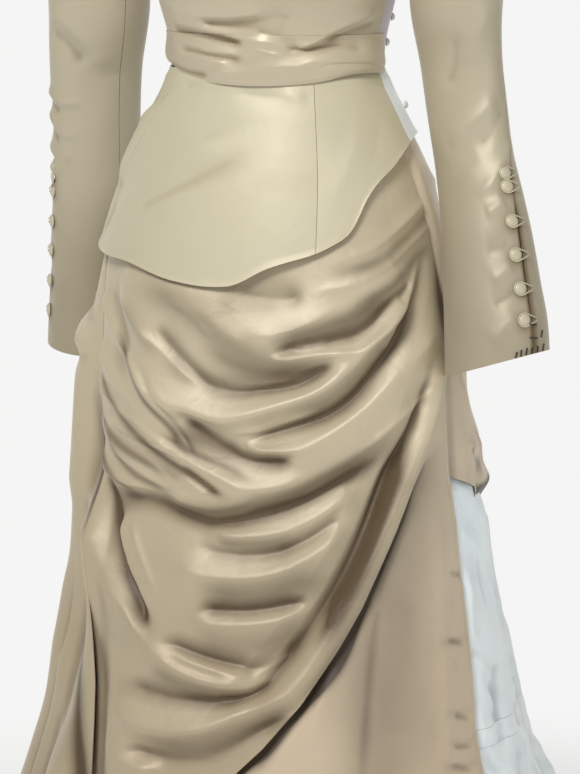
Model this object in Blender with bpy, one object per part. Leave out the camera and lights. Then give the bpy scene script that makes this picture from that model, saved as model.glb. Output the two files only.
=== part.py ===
"""A satin gown, worn, with the wearer taken out of it.

The gown faces -Y and the wearer's left is +X. Its origin is the middle of the line between
the shoulder points, where the wearer holds it up, so the floor lies one shoulder height
below it. Tables give heights above the floor, and angles round the body from the centre
front, in degrees, growing towards the wearer's left. All sizes are in metres.
"""
import math

import bmesh
import bpy
import numpy as np
from mathutils import Matrix, Vector

# Driving sizes
SHOULDER_HEIGHT = 1.43
WALL = 0.002
SEAM_GAP = 0.0004
WAIST = 1.05
UNDERARM = 1.255
YOKE_TOP = 1.37
HEM = 0.012
SKIRT_TOP = 1.02
TAIL_TOP = 1.015
SIDE_SEAM = 85.0
BACK_SEAM = 118.0

# Height of the outer face of each layer over the form below
BODICE_OUT = 0.0024
BASQUE_WAIST_OUT = 0.0030
BASQUE_WAIST_RUN = 0.012
BASQUE_TOP_OUT = 0.0058
BASQUE_EDGE_OUT = 0.0092
TAIL_OUT = 0.0036
TAIL_TUCK_OUT = -0.0069
UNDERSKIRT_OUT = -0.0012
PANEL_OUT = -0.004
PANEL_TOP_OUT = -0.0028
PANEL_SLIT_OUT = -0.012
UNDER_PANEL_OUT = -0.010
UNDER_PANEL_DEEPER = 0.005
UNDER_APRON_OUT = -0.022
UNDER_RIGHT_BACK_OUT = -0.018
UNDER_TAIL_OUT = -0.0305
UNDER_BASQUE_OUT = 0.002

# The form that the cut gives: height, half width, depth in front, depth behind
FORM = (
    (0.010, 0.382, 0.325, 0.470),
    (0.150, 0.329, 0.290, 0.388),
    (0.300, 0.272, 0.250, 0.334),
    (0.350, 0.255, 0.238, 0.327),
    (0.400, 0.246, 0.226, 0.311),
    (0.450, 0.237, 0.213, 0.293),
    (0.500, 0.229, 0.205, 0.277),
    (0.600, 0.222, 0.190, 0.245),
    (0.750, 0.212, 0.168, 0.212),
    (0.850, 0.195, 0.147, 0.182),
    (0.900, 0.180, 0.134, 0.161),
    (0.950, 0.161, 0.119, 0.136),
    (1.000, 0.137, 0.102, 0.110),
    (1.050, 0.117, 0.089, 0.092),
    (1.080, 0.119, 0.093, 0.090),
    (1.120, 0.129, 0.104, 0.092),
    (1.170, 0.141, 0.118, 0.097),
    (1.220, 0.151, 0.127, 0.101),
    (1.260, 0.157, 0.123, 0.104),
    (1.310, 0.160, 0.105, 0.104),
    (1.370, 0.158, 0.080, 0.094),
)

# Lower edge of the basque: angle, height
BASQUE_EDGE = (
    (-180, 0.930), (-120, 0.895), (-69, 0.857), (-50, 0.850), (-35, 0.847), (-13, 0.831),
    (0, 0.828), (6, 0.829), (16, 0.852), (36, 0.873), (44, 0.888), (52, 0.920), (70, 0.955),
    (88, 0.976), (120, 0.980), (180, 0.930),
)
# Princess seams of the basque: angle at the waist, angle at the lower edge
RIGHT_PRINCESS = (-45.0, -60.0)
LEFT_PRINCESS = (40.0, 32.0)
BASQUE_ROW_EASE = 1.35

# Front edge of the apron drape, from the waist down its rolled edge: angle, height
DRAPE_EDGE = (
    (84, 1.020), (84, 0.800), (80, 0.735), (71, 0.668), (63, 0.620), (56, 0.570), (46, 0.500),
    (39, 0.460), (30, 0.410), (20, 0.360), (12, 0.325), (3, 0.290), (-6, 0.262),
)
# Side edge of the drape, where the right back panel lies over it: height, angle
DRAPE_SIDE = (
    (0.010, -24), (0.300, -26), (0.400, -30), (0.500, -37), (0.600, -42), (0.700, -50),
    (0.850, -62), (1.030, -62),
)
# Swags of the drape: share of the way down the front edge, height at the side, lowest height
SWAGS = (
    (0.000, 1.020, 1.020),
    (0.054, 0.955, 0.930),
    (0.107, 0.905, 0.870),
    (0.161, 0.875, 0.825),
    (0.223, 0.850, 0.775),
    (0.295, 0.825, 0.720),
    (0.375, 0.795, 0.665),
    (0.464, 0.755, 0.610),
    (0.554, 0.700, 0.553),
    (0.634, 0.630, 0.500),
    (0.714, 0.545, 0.445),
    (0.777, 0.470, 0.390),
    (0.839, 0.380, 0.342),
    (0.893, 0.335, 0.317),
    (0.945, 0.290, 0.288),
    (1.000, 0.245, 0.258),
)
SWAG_LOW_ANGLE = 12.0
SWAG_SPREAD = 9.0
SWAG_SIDE_BEND = 1.6
SWAG_FRONT_BEND = 1.5
EDGE_CROWDING = 1.25

# Folds of the drape. Each runs from its start through its middle to its end, and a fold
# with a depth above nought is a ridge, below nought a trough.
# start angle, height, middle angle, height, end angle, height, half width, depth
DRAPE_FOLDS = (
    (84, 0.915, 36, 0.822, 6, 0.790, 0.017, 0.008),
    (-45, 0.825, 8, 0.768, 66, 0.845, 0.011, -0.008),
    (78, 0.868, 46, 0.787, 10, 0.760, 0.009, 0.010),
    (-26, 0.768, 8, 0.728, 44, 0.766, 0.011, 0.006),
    (4, 0.692, 40, 0.732, 70, 0.832, 0.012, -0.012),
    (0, 0.682, 44, 0.712, 84, 0.858, 0.011, 0.010),
    (-53, 0.835, -4, 0.682, 51, 0.695, 0.012, -0.010),
    (4, 0.648, 14, 0.643, 27, 0.632, 0.010, 0.007),
    (60, 0.668, 30, 0.634, -3, 0.583, 0.011, -0.013),
    (60, 0.655, 42, 0.632, 26, 0.600, 0.008, 0.006),
    (-10, 0.573, 17, 0.533, 42, 0.610, 0.011, 0.008),
    (-6, 0.520, 20, 0.520, 46, 0.585, 0.011, -0.008),
    (-9, 0.548, 8, 0.492, 32, 0.508, 0.009, 0.006),
    (-4, 0.480, 16, 0.472, 34, 0.488, 0.013, -0.009),
    (-46, 0.612, -16, 0.463, 28, 0.447, 0.012, 0.010),
    (-19, 0.450, 2, 0.413, 20, 0.428, 0.010, -0.009),
    (-29, 0.454, -4, 0.370, 27, 0.418, 0.017, 0.011),
    (-22, 0.362, -2, 0.349, 18, 0.374, 0.012, -0.009),
    (-19, 0.350, -6, 0.330, 6, 0.322, 0.010, 0.007),
    (-46, 0.700, -33, 0.585, -11, 0.466, 0.012, -0.015),
    (-56, 0.708, -16, 0.668, 12, 0.632, 0.009, -0.008),
    (-45, 0.703, -12, 0.648, 12, 0.618, 0.010, 0.008),
    (-52, 0.805, -36, 0.745, -22, 0.692, 0.010, -0.009),
    (-31, 0.656, -15, 0.632, 1, 0.608, 0.009, 0.007),
    (-30, 0.615, -14, 0.602, 2, 0.588, 0.009, -0.008),
)
FOLD_RUNS = 12
FOLD_FADE = 0.2
FOLD_END = 0.2
# The rolled front edge of the drape: distance from the edge, height over the form
ROLL = (
    (0.000, 0.000), (0.006, 0.008), (0.014, 0.012), (0.023, 0.002), (0.032, -0.011),
    (0.046, -0.005), (0.064, 0.000),
)
ROLL_TOP = 0.76
ROLL_FOOT = 0.375
ROLL_FADE = 0.06
ROLL_REACH = 0.06
METRES_PER_DEGREE = 0.0037
EDGE_SAMPLES = 60
PRESS_RUN = 0.024

# Folds of the basque, in the columns of the drape's folds
BASQUE_FOLDS = (
    (-70, 1.010, -66, 0.970, -64, 0.920, 0.040, 0.008),
    (-58, 0.905, -62, 0.890, -66, 0.870, 0.014, -0.003),
    (-38, 0.895, -20, 0.925, 12, 0.965, 0.010, -0.002),
)
BASQUE_FOLD_TOP = 1.032
BASQUE_FOLD_RUN = 0.03

# Right edge of the flat side panel: height, angle
PANEL_EDGE = (
    (0.010, 72), (0.270, 72), (0.318, 74), (0.380, 78), (0.440, 81), (0.503, 82), (0.568, 82),
    (0.630, 80), (0.708, 80), (0.800, 82),
)
PANEL_TOP = 0.80
PANEL_TUCK = 4.0
PANEL_LOW_ANGLE = -10.0
PANEL_FREE_RUN = 0.03
SLIT_TOP = 0.66
SLIT_WIDTH = 6.0
SLIT_FADE = 0.04
APRON_TUCK = 3.0
APRON_TUCK_WIDTH = 7.0
APRON_TUCK_DEEPER = 0.008
APRON_CLEARANCE = 0.0042
APRON_TUCK_TOP = 0.72
APRON_TUCK_RUN = 0.12

# Front below the apron drape
LOWER_FRONT_TOP = 0.300
LOWER_FRONT_SHELTER = 0.235
LOWER_FRONT_RUN = 0.03

# Hanging folds of the right back panel: angle at the frame's height, angle at the hem,
# half width in degrees, depth at the hem
RIGHT_FLUTES = (
    (-36, -30, 7, 0.012),
    (-50, -46, 6, -0.014),
    (-65, -63, 7, 0.004),
    (-80, -79, 7, -0.016),
    (-96, -96, 8, 0.014),
    (-113, -113, 7, -0.015),
    (-129, -129, 8, 0.014),
    (-146, -146, 7, -0.014),
    (-163, -163, 8, 0.013),
)
UNDERSKIRT_FLUTES = (
    (84, 82, 6, -0.006),
    (103, 102, 7, 0.006),
    (118, 118, 6, -0.010),
    (130, 130, 6, 0.008),
    (140, 140, 8, 0.012),
    (156, 156, 7, -0.012),
    (172, 172, 8, 0.011),
)
# Folds under the right hip, in the columns of the drape's folds
HIP_FOLDS = (
    (-98, 0.812, -76, 0.770, -58, 0.742, 0.014, 0.015),
    (-66, 0.755, -65, 0.660, -64, 0.560, 0.030, 0.007),
)
FLUTE_KNEE = 0.45
FLUTE_RUN = 0.55

# Underskirt
UNDERSKIRT_START = 76.0
UNDERSKIRT_TURN = 6.0
UNDERSKIRT_TURN_TOP = 0.42
UNDERSKIRT_TURN_RUN = 0.15
UNDER_PANEL_WIDTH = 4.0
UNDER_TAIL_FOOT = 0.535
UNDER_TAIL_RUN = 0.05
BACK_MEETING = 184.0
MEETING_FLAT = 12.0
BAND_TOP = 0.347
BAND_FOOT = 0.327
TIER_GAP = 0.0008
FLOUNCE_WAVES = 12
FLOUNCE_DEPTH = 0.007
FLOUNCE_GATHER_SHARE = 0.3

# Tail: hem angle, height
TAIL_START = 79.5
TAIL_END = 178.0
TAIL_HEM = (
    (79, 0.628), (92, 0.612), (102, 0.598), (109, 0.566), (116, 0.596), (140, 0.622), (178, 0.660),
)
TAIL_CORNER_HEIGHT = 0.592
TAIL_CORNER_TURN = -0.012
TAIL_CORNER_RUN = 0.03
TAIL_TUCK_END = 83.0
TAIL_TUCK_WIDTH = 9.0
TAIL_FOLDS = (
    (111, 0.880, 112, 0.760, 113, 0.640, 0.050, -0.027),
    (96, 0.622, 108, 0.603, 120, 0.602, 0.016, 0.016),
    (138, 0.930, 140, 0.790, 141, 0.650, 0.014, -0.008),
    (150, 0.930, 153, 0.800, 155, 0.660, 0.016, 0.009),
    (168, 0.930, 168, 0.800, 169, 0.670, 0.014, -0.008),
)

# Waist swathe
SASH_FOOT = 1.036
SASH_TOP = 1.086
SASH_START = -98.0
SASH_END = 92.0
SASH_OUT = 0.0096
SASH_FOLDS = (
    (-60, 1.056, 0, 1.052, 88, 1.060, 0.005, 0.003),
    (-60, 1.062, 0, 1.070, 88, 1.072, 0.004, -0.0018),
    (-60, 1.066, 10, 1.080, 88, 1.084, 0.005, 0.003),
)
BODICE_FOLDS = (
    (-52, 1.090, -10, 1.120, 50, 1.105, 0.010, 0.004),
    (-52, 1.095, -20, 1.150, 30, 1.165, 0.012, 0.004),
    (-52, 1.092, 0, 1.104, 60, 1.090, 0.006, -0.003),
)
BODICE_FOLD_FOOT = 1.085
BODICE_FOLD_RUN = 0.02
BODICE_FOLD_SINK = -0.002
SASH_FOLD_SINK = -0.0004

# Yoke and neck: the edges of the front and back above the underarm
YOKE_ANGLE = ((UNDERARM, 0.0), (1.275, 10.0), (1.305, 20.0), (1.340, 24.0), (YOKE_TOP, 24.0))
BACK_YOKE_SHARE = 0.55
YOKE_BLEND_START = 0.70
YOKE_INWARD_BEND = 1.6
NECK_HALF_WIDTH = 0.066
NECK_Y = 0.008
NECK_SHARE = 0.42
FRONT_NECK = (0.062, 1.388)
BACK_NECK = (0.058, 1.432)
NECK_POINT_HEIGHT = 1.447
SHOULDER_POINT = (0.172, 0.004, 1.408)

# Sleeves: height, distance of the middle from the centre plane, y of the middle,
# half width along the long axis, half width across it
LEFT_SLEEVE = (
    (1.235, 0.220, 0.004, 0.060, 0.048),
    (1.180, 0.210, 0.004, 0.058, 0.045),
    (1.124, 0.204, 0.006, 0.0565, 0.041),
    (1.060, 0.208, 0.012, 0.052, 0.033),
    (1.010, 0.216, 0.010, 0.050, 0.0325),
    (0.953, 0.229, 0.001, 0.048, 0.033),
    (0.907, 0.242, -0.009, 0.050, 0.038),
    (0.877, 0.250, -0.017, 0.052, 0.042),
    (0.816, 0.262, -0.028, 0.054, 0.048),
    (0.770, 0.270, -0.036, 0.056, 0.052),
    (0.747, 0.272, -0.039, 0.056, 0.053),
)
RIGHT_SLEEVE = (
    (1.235, 0.226, 0.004, 0.060, 0.048),
    (1.180, 0.223, 0.005, 0.058, 0.045),
    (1.117, 0.222, 0.010, 0.0565, 0.041),
    (1.049, 0.235, 0.025, 0.052, 0.033),
    (0.998, 0.241, 0.035, 0.050, 0.0325),
    (0.930, 0.246, 0.045, 0.050, 0.033),
    (0.877, 0.252, 0.055, 0.051, 0.039),
    (0.842, 0.257, 0.062, 0.052, 0.042),
    (0.771, 0.264, 0.072, 0.054, 0.048),
    (0.722, 0.269, 0.080, 0.056, 0.053),
)
# Each sleeve: its side, its hand, its stations, and how far its hem tips up at the outer back
SLEEVES = (("left", (1.0, LEFT_SLEEVE, 12.0)), ("right", (-1.0, RIGHT_SLEEVE, 0.0)))
SLEEVE_LONG_AXIS = 65.0
SLEEVE_RINGS = 14
UNDER_COLUMNS = 6
UPPER_COLUMNS = 10
SLEEVE_CAP_SHARE = 0.2
SLEEVE_MEAN_WIDTH = 0.06
ARMHOLE_CLEARANCE = 0.0027
HEM_TILT_START = 0.7
HEM_TILT_FRONT = 0.5
CAP_SIDEWAYS = 0.85
CAP_FORWARD = 0.5
CAP_DROP = 0.15
# Seams of a sleeve: share of the way down, angle of the inner seam, angle of the outer seam
SLEEVE_SEAMS = (
    (0.00, -58, 96), (0.40, -58, 88), (0.575, -58, 72), (0.65, -58, 62), (0.72, -58, 60),
    (0.855, -58, 61), (1.00, -58, 63),
)

# Buttons
BUTTON_RADIUS = 0.0068
BUTTON_HEIGHT = 0.0030
BUTTON_LIFT = 0.0007
# Share of the way down the sleeve, share across its under piece
CUFF_BUTTONS = (
    (0.696, 0.900), (0.720, 0.917), (0.776, 0.924), (0.828, 0.920), (0.884, 0.924), (0.938, 0.925),
)
# Small buttons on the side-back seam: height, lift over the form
SEAM_BUTTON_ANGLE = 113.0
SEAM_BUTTONS = ((1.104, BODICE_OUT), (1.077, BODICE_OUT), (1.010, BASQUE_TOP_OUT + 0.0028))
SEAM_BUTTON_RADIUS = 0.0045
SEAM_BUTTON_HEIGHT = 0.0040
BUTTON_SIDES = 8
BUTTON_RINGS = 4

GOLD = (0.56, 0.49, 0.36, 1.0)
PALE = (0.62, 0.64, 0.65, 1.0)
LILAC = (0.52, 0.48, 0.50, 1.0)


def material(name, colour, roughness=0.38):
    """Return a plain cloth material."""
    made = bpy.data.materials.new(name)
    made.use_nodes = True
    shader = made.node_tree.nodes["Principled BSDF"]
    shader.inputs["Base Color"].default_value = colour
    shader.inputs["Roughness"].default_value = roughness
    shader.inputs["Metallic"].default_value = 0.0
    return made


def curve_through(value, rows):
    """Return each further column of rows at value, smoothly; the first column rises."""
    table = np.array(rows, float)
    keys = table[:, 0]
    columns = table[:, 1:]
    value = np.clip(np.asarray(value, float), keys[0], keys[-1])
    low = np.clip(np.searchsorted(keys, value) - 1, 0, len(keys) - 2)
    slope = np.gradient(columns, keys, axis=0)
    step = (keys[low + 1] - keys[low])[..., None]
    share = (value - keys[low])[..., None] / step
    square = share * share
    cube = square * share
    return ((2 * cube - 3 * square + 1) * columns[low] + (cube - 2 * square + share) * step * slope[low]
            + (3 * square - 2 * cube) * columns[low + 1] + (cube - square) * step * slope[low + 1])


def straight_through(value, rows):
    """Return the second column of rows at value, in straight runs; the first column rises."""
    table = np.array(rows, float)
    return np.interp(value, table[:, 0], table[:, 1])


def smooth_step(value):
    """Return 0 below 0, 1 above 1 and a smooth rise between."""
    value = np.clip(value, 0.0, 1.0)
    return value * value * (3 - 2 * value)


def on_form(angle, height, out):
    """Return points on the gown's form, moved straight out from it."""
    angle = np.radians(angle)
    width, front, back = np.moveaxis(curve_through(height, FORM), -1, 0)
    sine = np.sin(angle)
    cosine = np.cos(angle)
    depth = np.where(cosine > 0, front, back)
    away = np.stack([sine / width, -cosine / depth], axis=-1)
    away /= np.linalg.norm(away, axis=-1, keepdims=True)
    x = width * sine + out * away[..., 0]
    y = -depth * cosine + out * away[..., 1]
    return np.stack([x, y, height - SHOULDER_HEIGHT], axis=-1)


def fold_relief(angle, height, folds):
    """Return how far the folds lift or sink the cloth at each angle and height."""
    relief = np.zeros(np.shape(angle))
    width, front, back = np.moveaxis(curve_through(height, FORM), -1, 0)
    arc = np.radians(1.0) * 0.5 * (width + np.where(np.cos(np.radians(angle)) > 0, front, back))
    for start_a, start_h, mid_a, mid_h, end_a, end_h, half_width, depth in folds:
        share = np.linspace(0.0, 1.0, FOLD_RUNS + 1)
        rest = 1 - share
        pull_a = 2 * mid_a - 0.5 * (start_a + end_a)
        pull_h = 2 * mid_h - 0.5 * (start_h + end_h)
        line_a = rest * rest * start_a + 2 * rest * share * pull_a + share * share * end_a
        line_h = rest * rest * start_h + 2 * rest * share * pull_h + share * share * end_h
        nearest = np.full(np.shape(angle), np.inf)
        along = np.zeros(np.shape(angle))
        for run in range(FOLD_RUNS):
            run_x = (line_a[run + 1] - line_a[run]) * arc
            run_y = line_h[run + 1] - line_h[run]
            from_x = (angle - line_a[run]) * arc
            from_y = height - line_h[run]
            part = np.clip((from_x * run_x + from_y * run_y) / (run_x ** 2 + run_y ** 2), 0, 1)
            distance = np.hypot(from_x - part * run_x, from_y - part * run_y)
            closer = distance < nearest
            nearest = np.where(closer, distance, nearest)
            along = np.where(closer, (run + part) / FOLD_RUNS, along)
        ends = smooth_step(along / FOLD_FADE) * smooth_step((1 - along) / FOLD_FADE)
        relief += depth * np.exp(-(nearest / half_width) ** 2) * (FOLD_END + (1 - FOLD_END) * ends)
    return relief


def facing(place, across, down):
    """Return the directions that a placed surface faces, from small steps over it."""
    step = 0.002
    right = place(np.minimum(across + step, 1), down) - place(np.maximum(across - step, 0), down)
    rise = place(across, np.maximum(down - step, 0)) - place(across, np.minimum(down + step, 1))
    away = np.cross(right, rise)
    return away / np.linalg.norm(away, axis=-1, keepdims=True)


def cloth(name, columns, rows, place, finish, collection):
    """Make a cloth wall whose outer face is placed from the shares across and down."""
    mesh = bpy.data.meshes.new(name)
    shell = bmesh.new()
    bmesh.ops.create_grid(shell, x_segments=columns, y_segments=rows, size=0.5)
    inner_faces = shell.faces[:]
    raised = bmesh.ops.extrude_face_region(shell, geom=inner_faces, use_keep_orig=True)
    outer = {item for item in raised["geom"] if isinstance(item, bmesh.types.BMVert)}
    across = np.array([vertex.co.x + 0.5 for vertex in shell.verts])
    down = np.array([0.5 - vertex.co.y for vertex in shell.verts])
    sunk = np.array([0.0 if vertex in outer else WALL for vertex in shell.verts])
    points = place(across, down) - facing(place, across, down) * sunk[:, None]
    for vertex, point in zip(shell.verts, points):
        vertex.co = Vector(point)
    bmesh.ops.recalc_face_normals(shell, faces=shell.faces)
    shell.to_mesh(mesh)
    shell.free()
    mesh.shade_smooth()
    mesh.set_sharp_from_angle(angle=math.radians(80))
    piece = bpy.data.objects.new(name, mesh)
    piece.data.materials.append(finish)
    collection.objects.link(piece)
    return piece


def gap_in_degrees(height):
    """Return half a seam's gap as an angle at this height."""
    width, front, back = np.moveaxis(curve_through(height, FORM), -1, 0)
    return np.degrees(SEAM_GAP / (width + np.minimum(front, back)))


def make_basque(collection, gold, pale):
    """Make the panels of the basque, from the waist seam to its lower edge."""
    panels = (
        ("basque_front_centre", RIGHT_PRINCESS, LEFT_PRINCESS, 13, 8, gold),
        ("basque_front_left", LEFT_PRINCESS, (88.0, 88.0), 7, 6, gold),
        ("basque_front_right", (-88.0, -88.0), RIGHT_PRINCESS, 5, 7, gold),
        ("basque_side_left", (88.0, 88.0), (128.0, 128.0), 5, 3, pale),
        ("basque_back_left", (128.0, 128.0), (180.0, 180.0), 6, 3, pale),
        ("basque_side_right", (-128.0, -128.0), (-88.0, -88.0), 5, 5, pale),
        ("basque_back_right", (-180.0, -180.0), (-128.0, -128.0), 6, 4, pale),
    )

    for name, start, end, columns, rows, finish in panels:
        def place(across, down, start=start, end=end):
            first = start[0] + (start[1] - start[0]) * down
            last = end[0] + (end[1] - end[0]) * down
            angle_at_foot = start[1] + (end[1] - start[1]) * across
            foot = straight_through(angle_at_foot, BASQUE_EDGE)
            sunk = down ** BASQUE_ROW_EASE
            height = (WAIST - 0.5 * SEAM_GAP) * (1 - sunk) + foot * sunk
            spare = gap_in_degrees(height)
            angle = (first + spare) * (1 - across) + (last - spare) * across
            out = BASQUE_TOP_OUT + (BASQUE_EDGE_OUT - BASQUE_TOP_OUT) * down ** 2
            seated = smooth_step((height - WAIST) / BASQUE_WAIST_RUN + 1)
            out = out - (BASQUE_TOP_OUT - BASQUE_WAIST_OUT) * seated
            below_sash = smooth_step((BASQUE_FOLD_TOP - height) / BASQUE_FOLD_RUN)
            out = out + fold_relief(angle, height, BASQUE_FOLDS) * below_sash
            return on_form(angle, height, out)
        cloth(name, columns, rows, place, finish, collection)


def drape_edge_at(share):
    """Return the angle and height at a share of the way down the drape's front edge."""
    table = np.array(DRAPE_EDGE, float)
    steps = np.hypot(np.diff(table[:, 0]) * METRES_PER_DEGREE, np.diff(table[:, 1]))
    way = np.concatenate([[0.0], np.cumsum(steps)])
    way /= way[-1]
    return np.interp(share, way, table[:, 0]), np.interp(share, way, table[:, 1])


def drape_edge_angle(height):
    """Return the angle of the drape's front edge at a height."""
    table = np.array(DRAPE_EDGE[::-1], float)
    return np.interp(height, table[:, 1], table[:, 0])


def place_drape(across, down):
    """Place the apron drape: rows hang as swags from both hips."""
    rows = np.array(SWAGS, float)
    keys = np.linspace(0.0, 1.0, len(rows))
    share = np.interp(down, keys, rows[:, 0])
    side_height = np.interp(down, keys, rows[:, 1])
    low_height = np.interp(down, keys, rows[:, 2])
    front_angle, front_height = drape_edge_at(share)
    side_angle = straight_through(side_height, DRAPE_SIDE) - APRON_TUCK
    low_angle = np.minimum(SWAG_LOW_ANGLE, front_angle - SWAG_SPREAD)
    angle = front_angle + (side_angle - front_angle) * (1 - across) ** EDGE_CROWDING
    to_side = np.clip((low_angle - angle) / (low_angle - side_angle), 0, 1)
    to_front = np.clip((angle - low_angle) / (front_angle - low_angle), 0, 1)
    height = (low_height + (side_height - low_height) * to_side ** SWAG_SIDE_BEND
              + (front_height - low_height) * to_front ** SWAG_FRONT_BEND)
    return angle, height


def flute_relief(angle, height, table):
    """Return how far hanging folds lift or sink the cloth; they grow towards the hem."""
    relief = np.zeros(np.shape(angle))
    strength = smooth_step((SKIRT_TOP - height) / FLUTE_RUN)
    way = np.clip((FLUTE_KNEE - height) / (FLUTE_KNEE - HEM), -1, 1)
    for knee_angle, hem_angle, half_width, depth in table:
        middle = knee_angle + (hem_angle - knee_angle) * way
        relief += depth * np.exp(-((angle - middle) / half_width) ** 2)
    from_meeting = np.minimum(np.abs(angle - BACK_MEETING), np.abs(angle + 360 - BACK_MEETING))
    return relief * strength * smooth_step(from_meeting / MEETING_FLAT)


def under_basque(angle, height, out):
    """Return the lift with its folds pressed flat where the basque lies over the skirt."""
    covered = smooth_step((height - straight_through(angle, BASQUE_EDGE) + 0.5 * PRESS_RUN) / PRESS_RUN)
    return out * (1 - covered) + np.minimum(out, UNDER_BASQUE_OUT) * covered


def right_back_out(angle, height):
    """Return how far the right back panel stands out from the form."""
    out = flute_relief(angle, height, RIGHT_FLUTES) + fold_relief(angle, height, HIP_FOLDS)
    return under_basque(angle, height, out)


def drape_out(angle, height):
    """Return how far the drape stands out from the form."""
    out = fold_relief(angle, height, DRAPE_FOLDS)
    edge = np.array([drape_edge_at(share) for share in np.linspace(0.0, 1.0, EDGE_SAMPLES)])
    nearest = np.full(np.shape(angle), 1e9)
    for edge_angle, edge_height in edge:
        aside = (angle - edge_angle) * METRES_PER_DEGREE
        nearest = np.minimum(nearest, np.hypot(aside, height - edge_height))
    rolled = smooth_step((ROLL_TOP - height) / ROLL_FADE) * smooth_step((height - ROLL_FOOT) / ROLL_FADE)
    near_roll = rolled * smooth_step(1 - nearest / ROLL_REACH)
    out = out * (1 - near_roll) + curve_through(nearest, ROLL)[..., 0] * rolled
    side_angle = straight_through(height, DRAPE_SIDE)
    tucked = smooth_step(1 - (angle - side_angle) / APRON_TUCK_WIDTH)
    deeper = APRON_TUCK_DEEPER * smooth_step((APRON_TUCK_TOP - height) / APRON_TUCK_RUN)
    laid_over = right_back_out(np.minimum(angle, side_angle), height)
    out = out * (1 - tucked) + (laid_over - WALL - APRON_CLEARANCE - deeper) * tucked
    return under_basque(angle, height, out)


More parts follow.
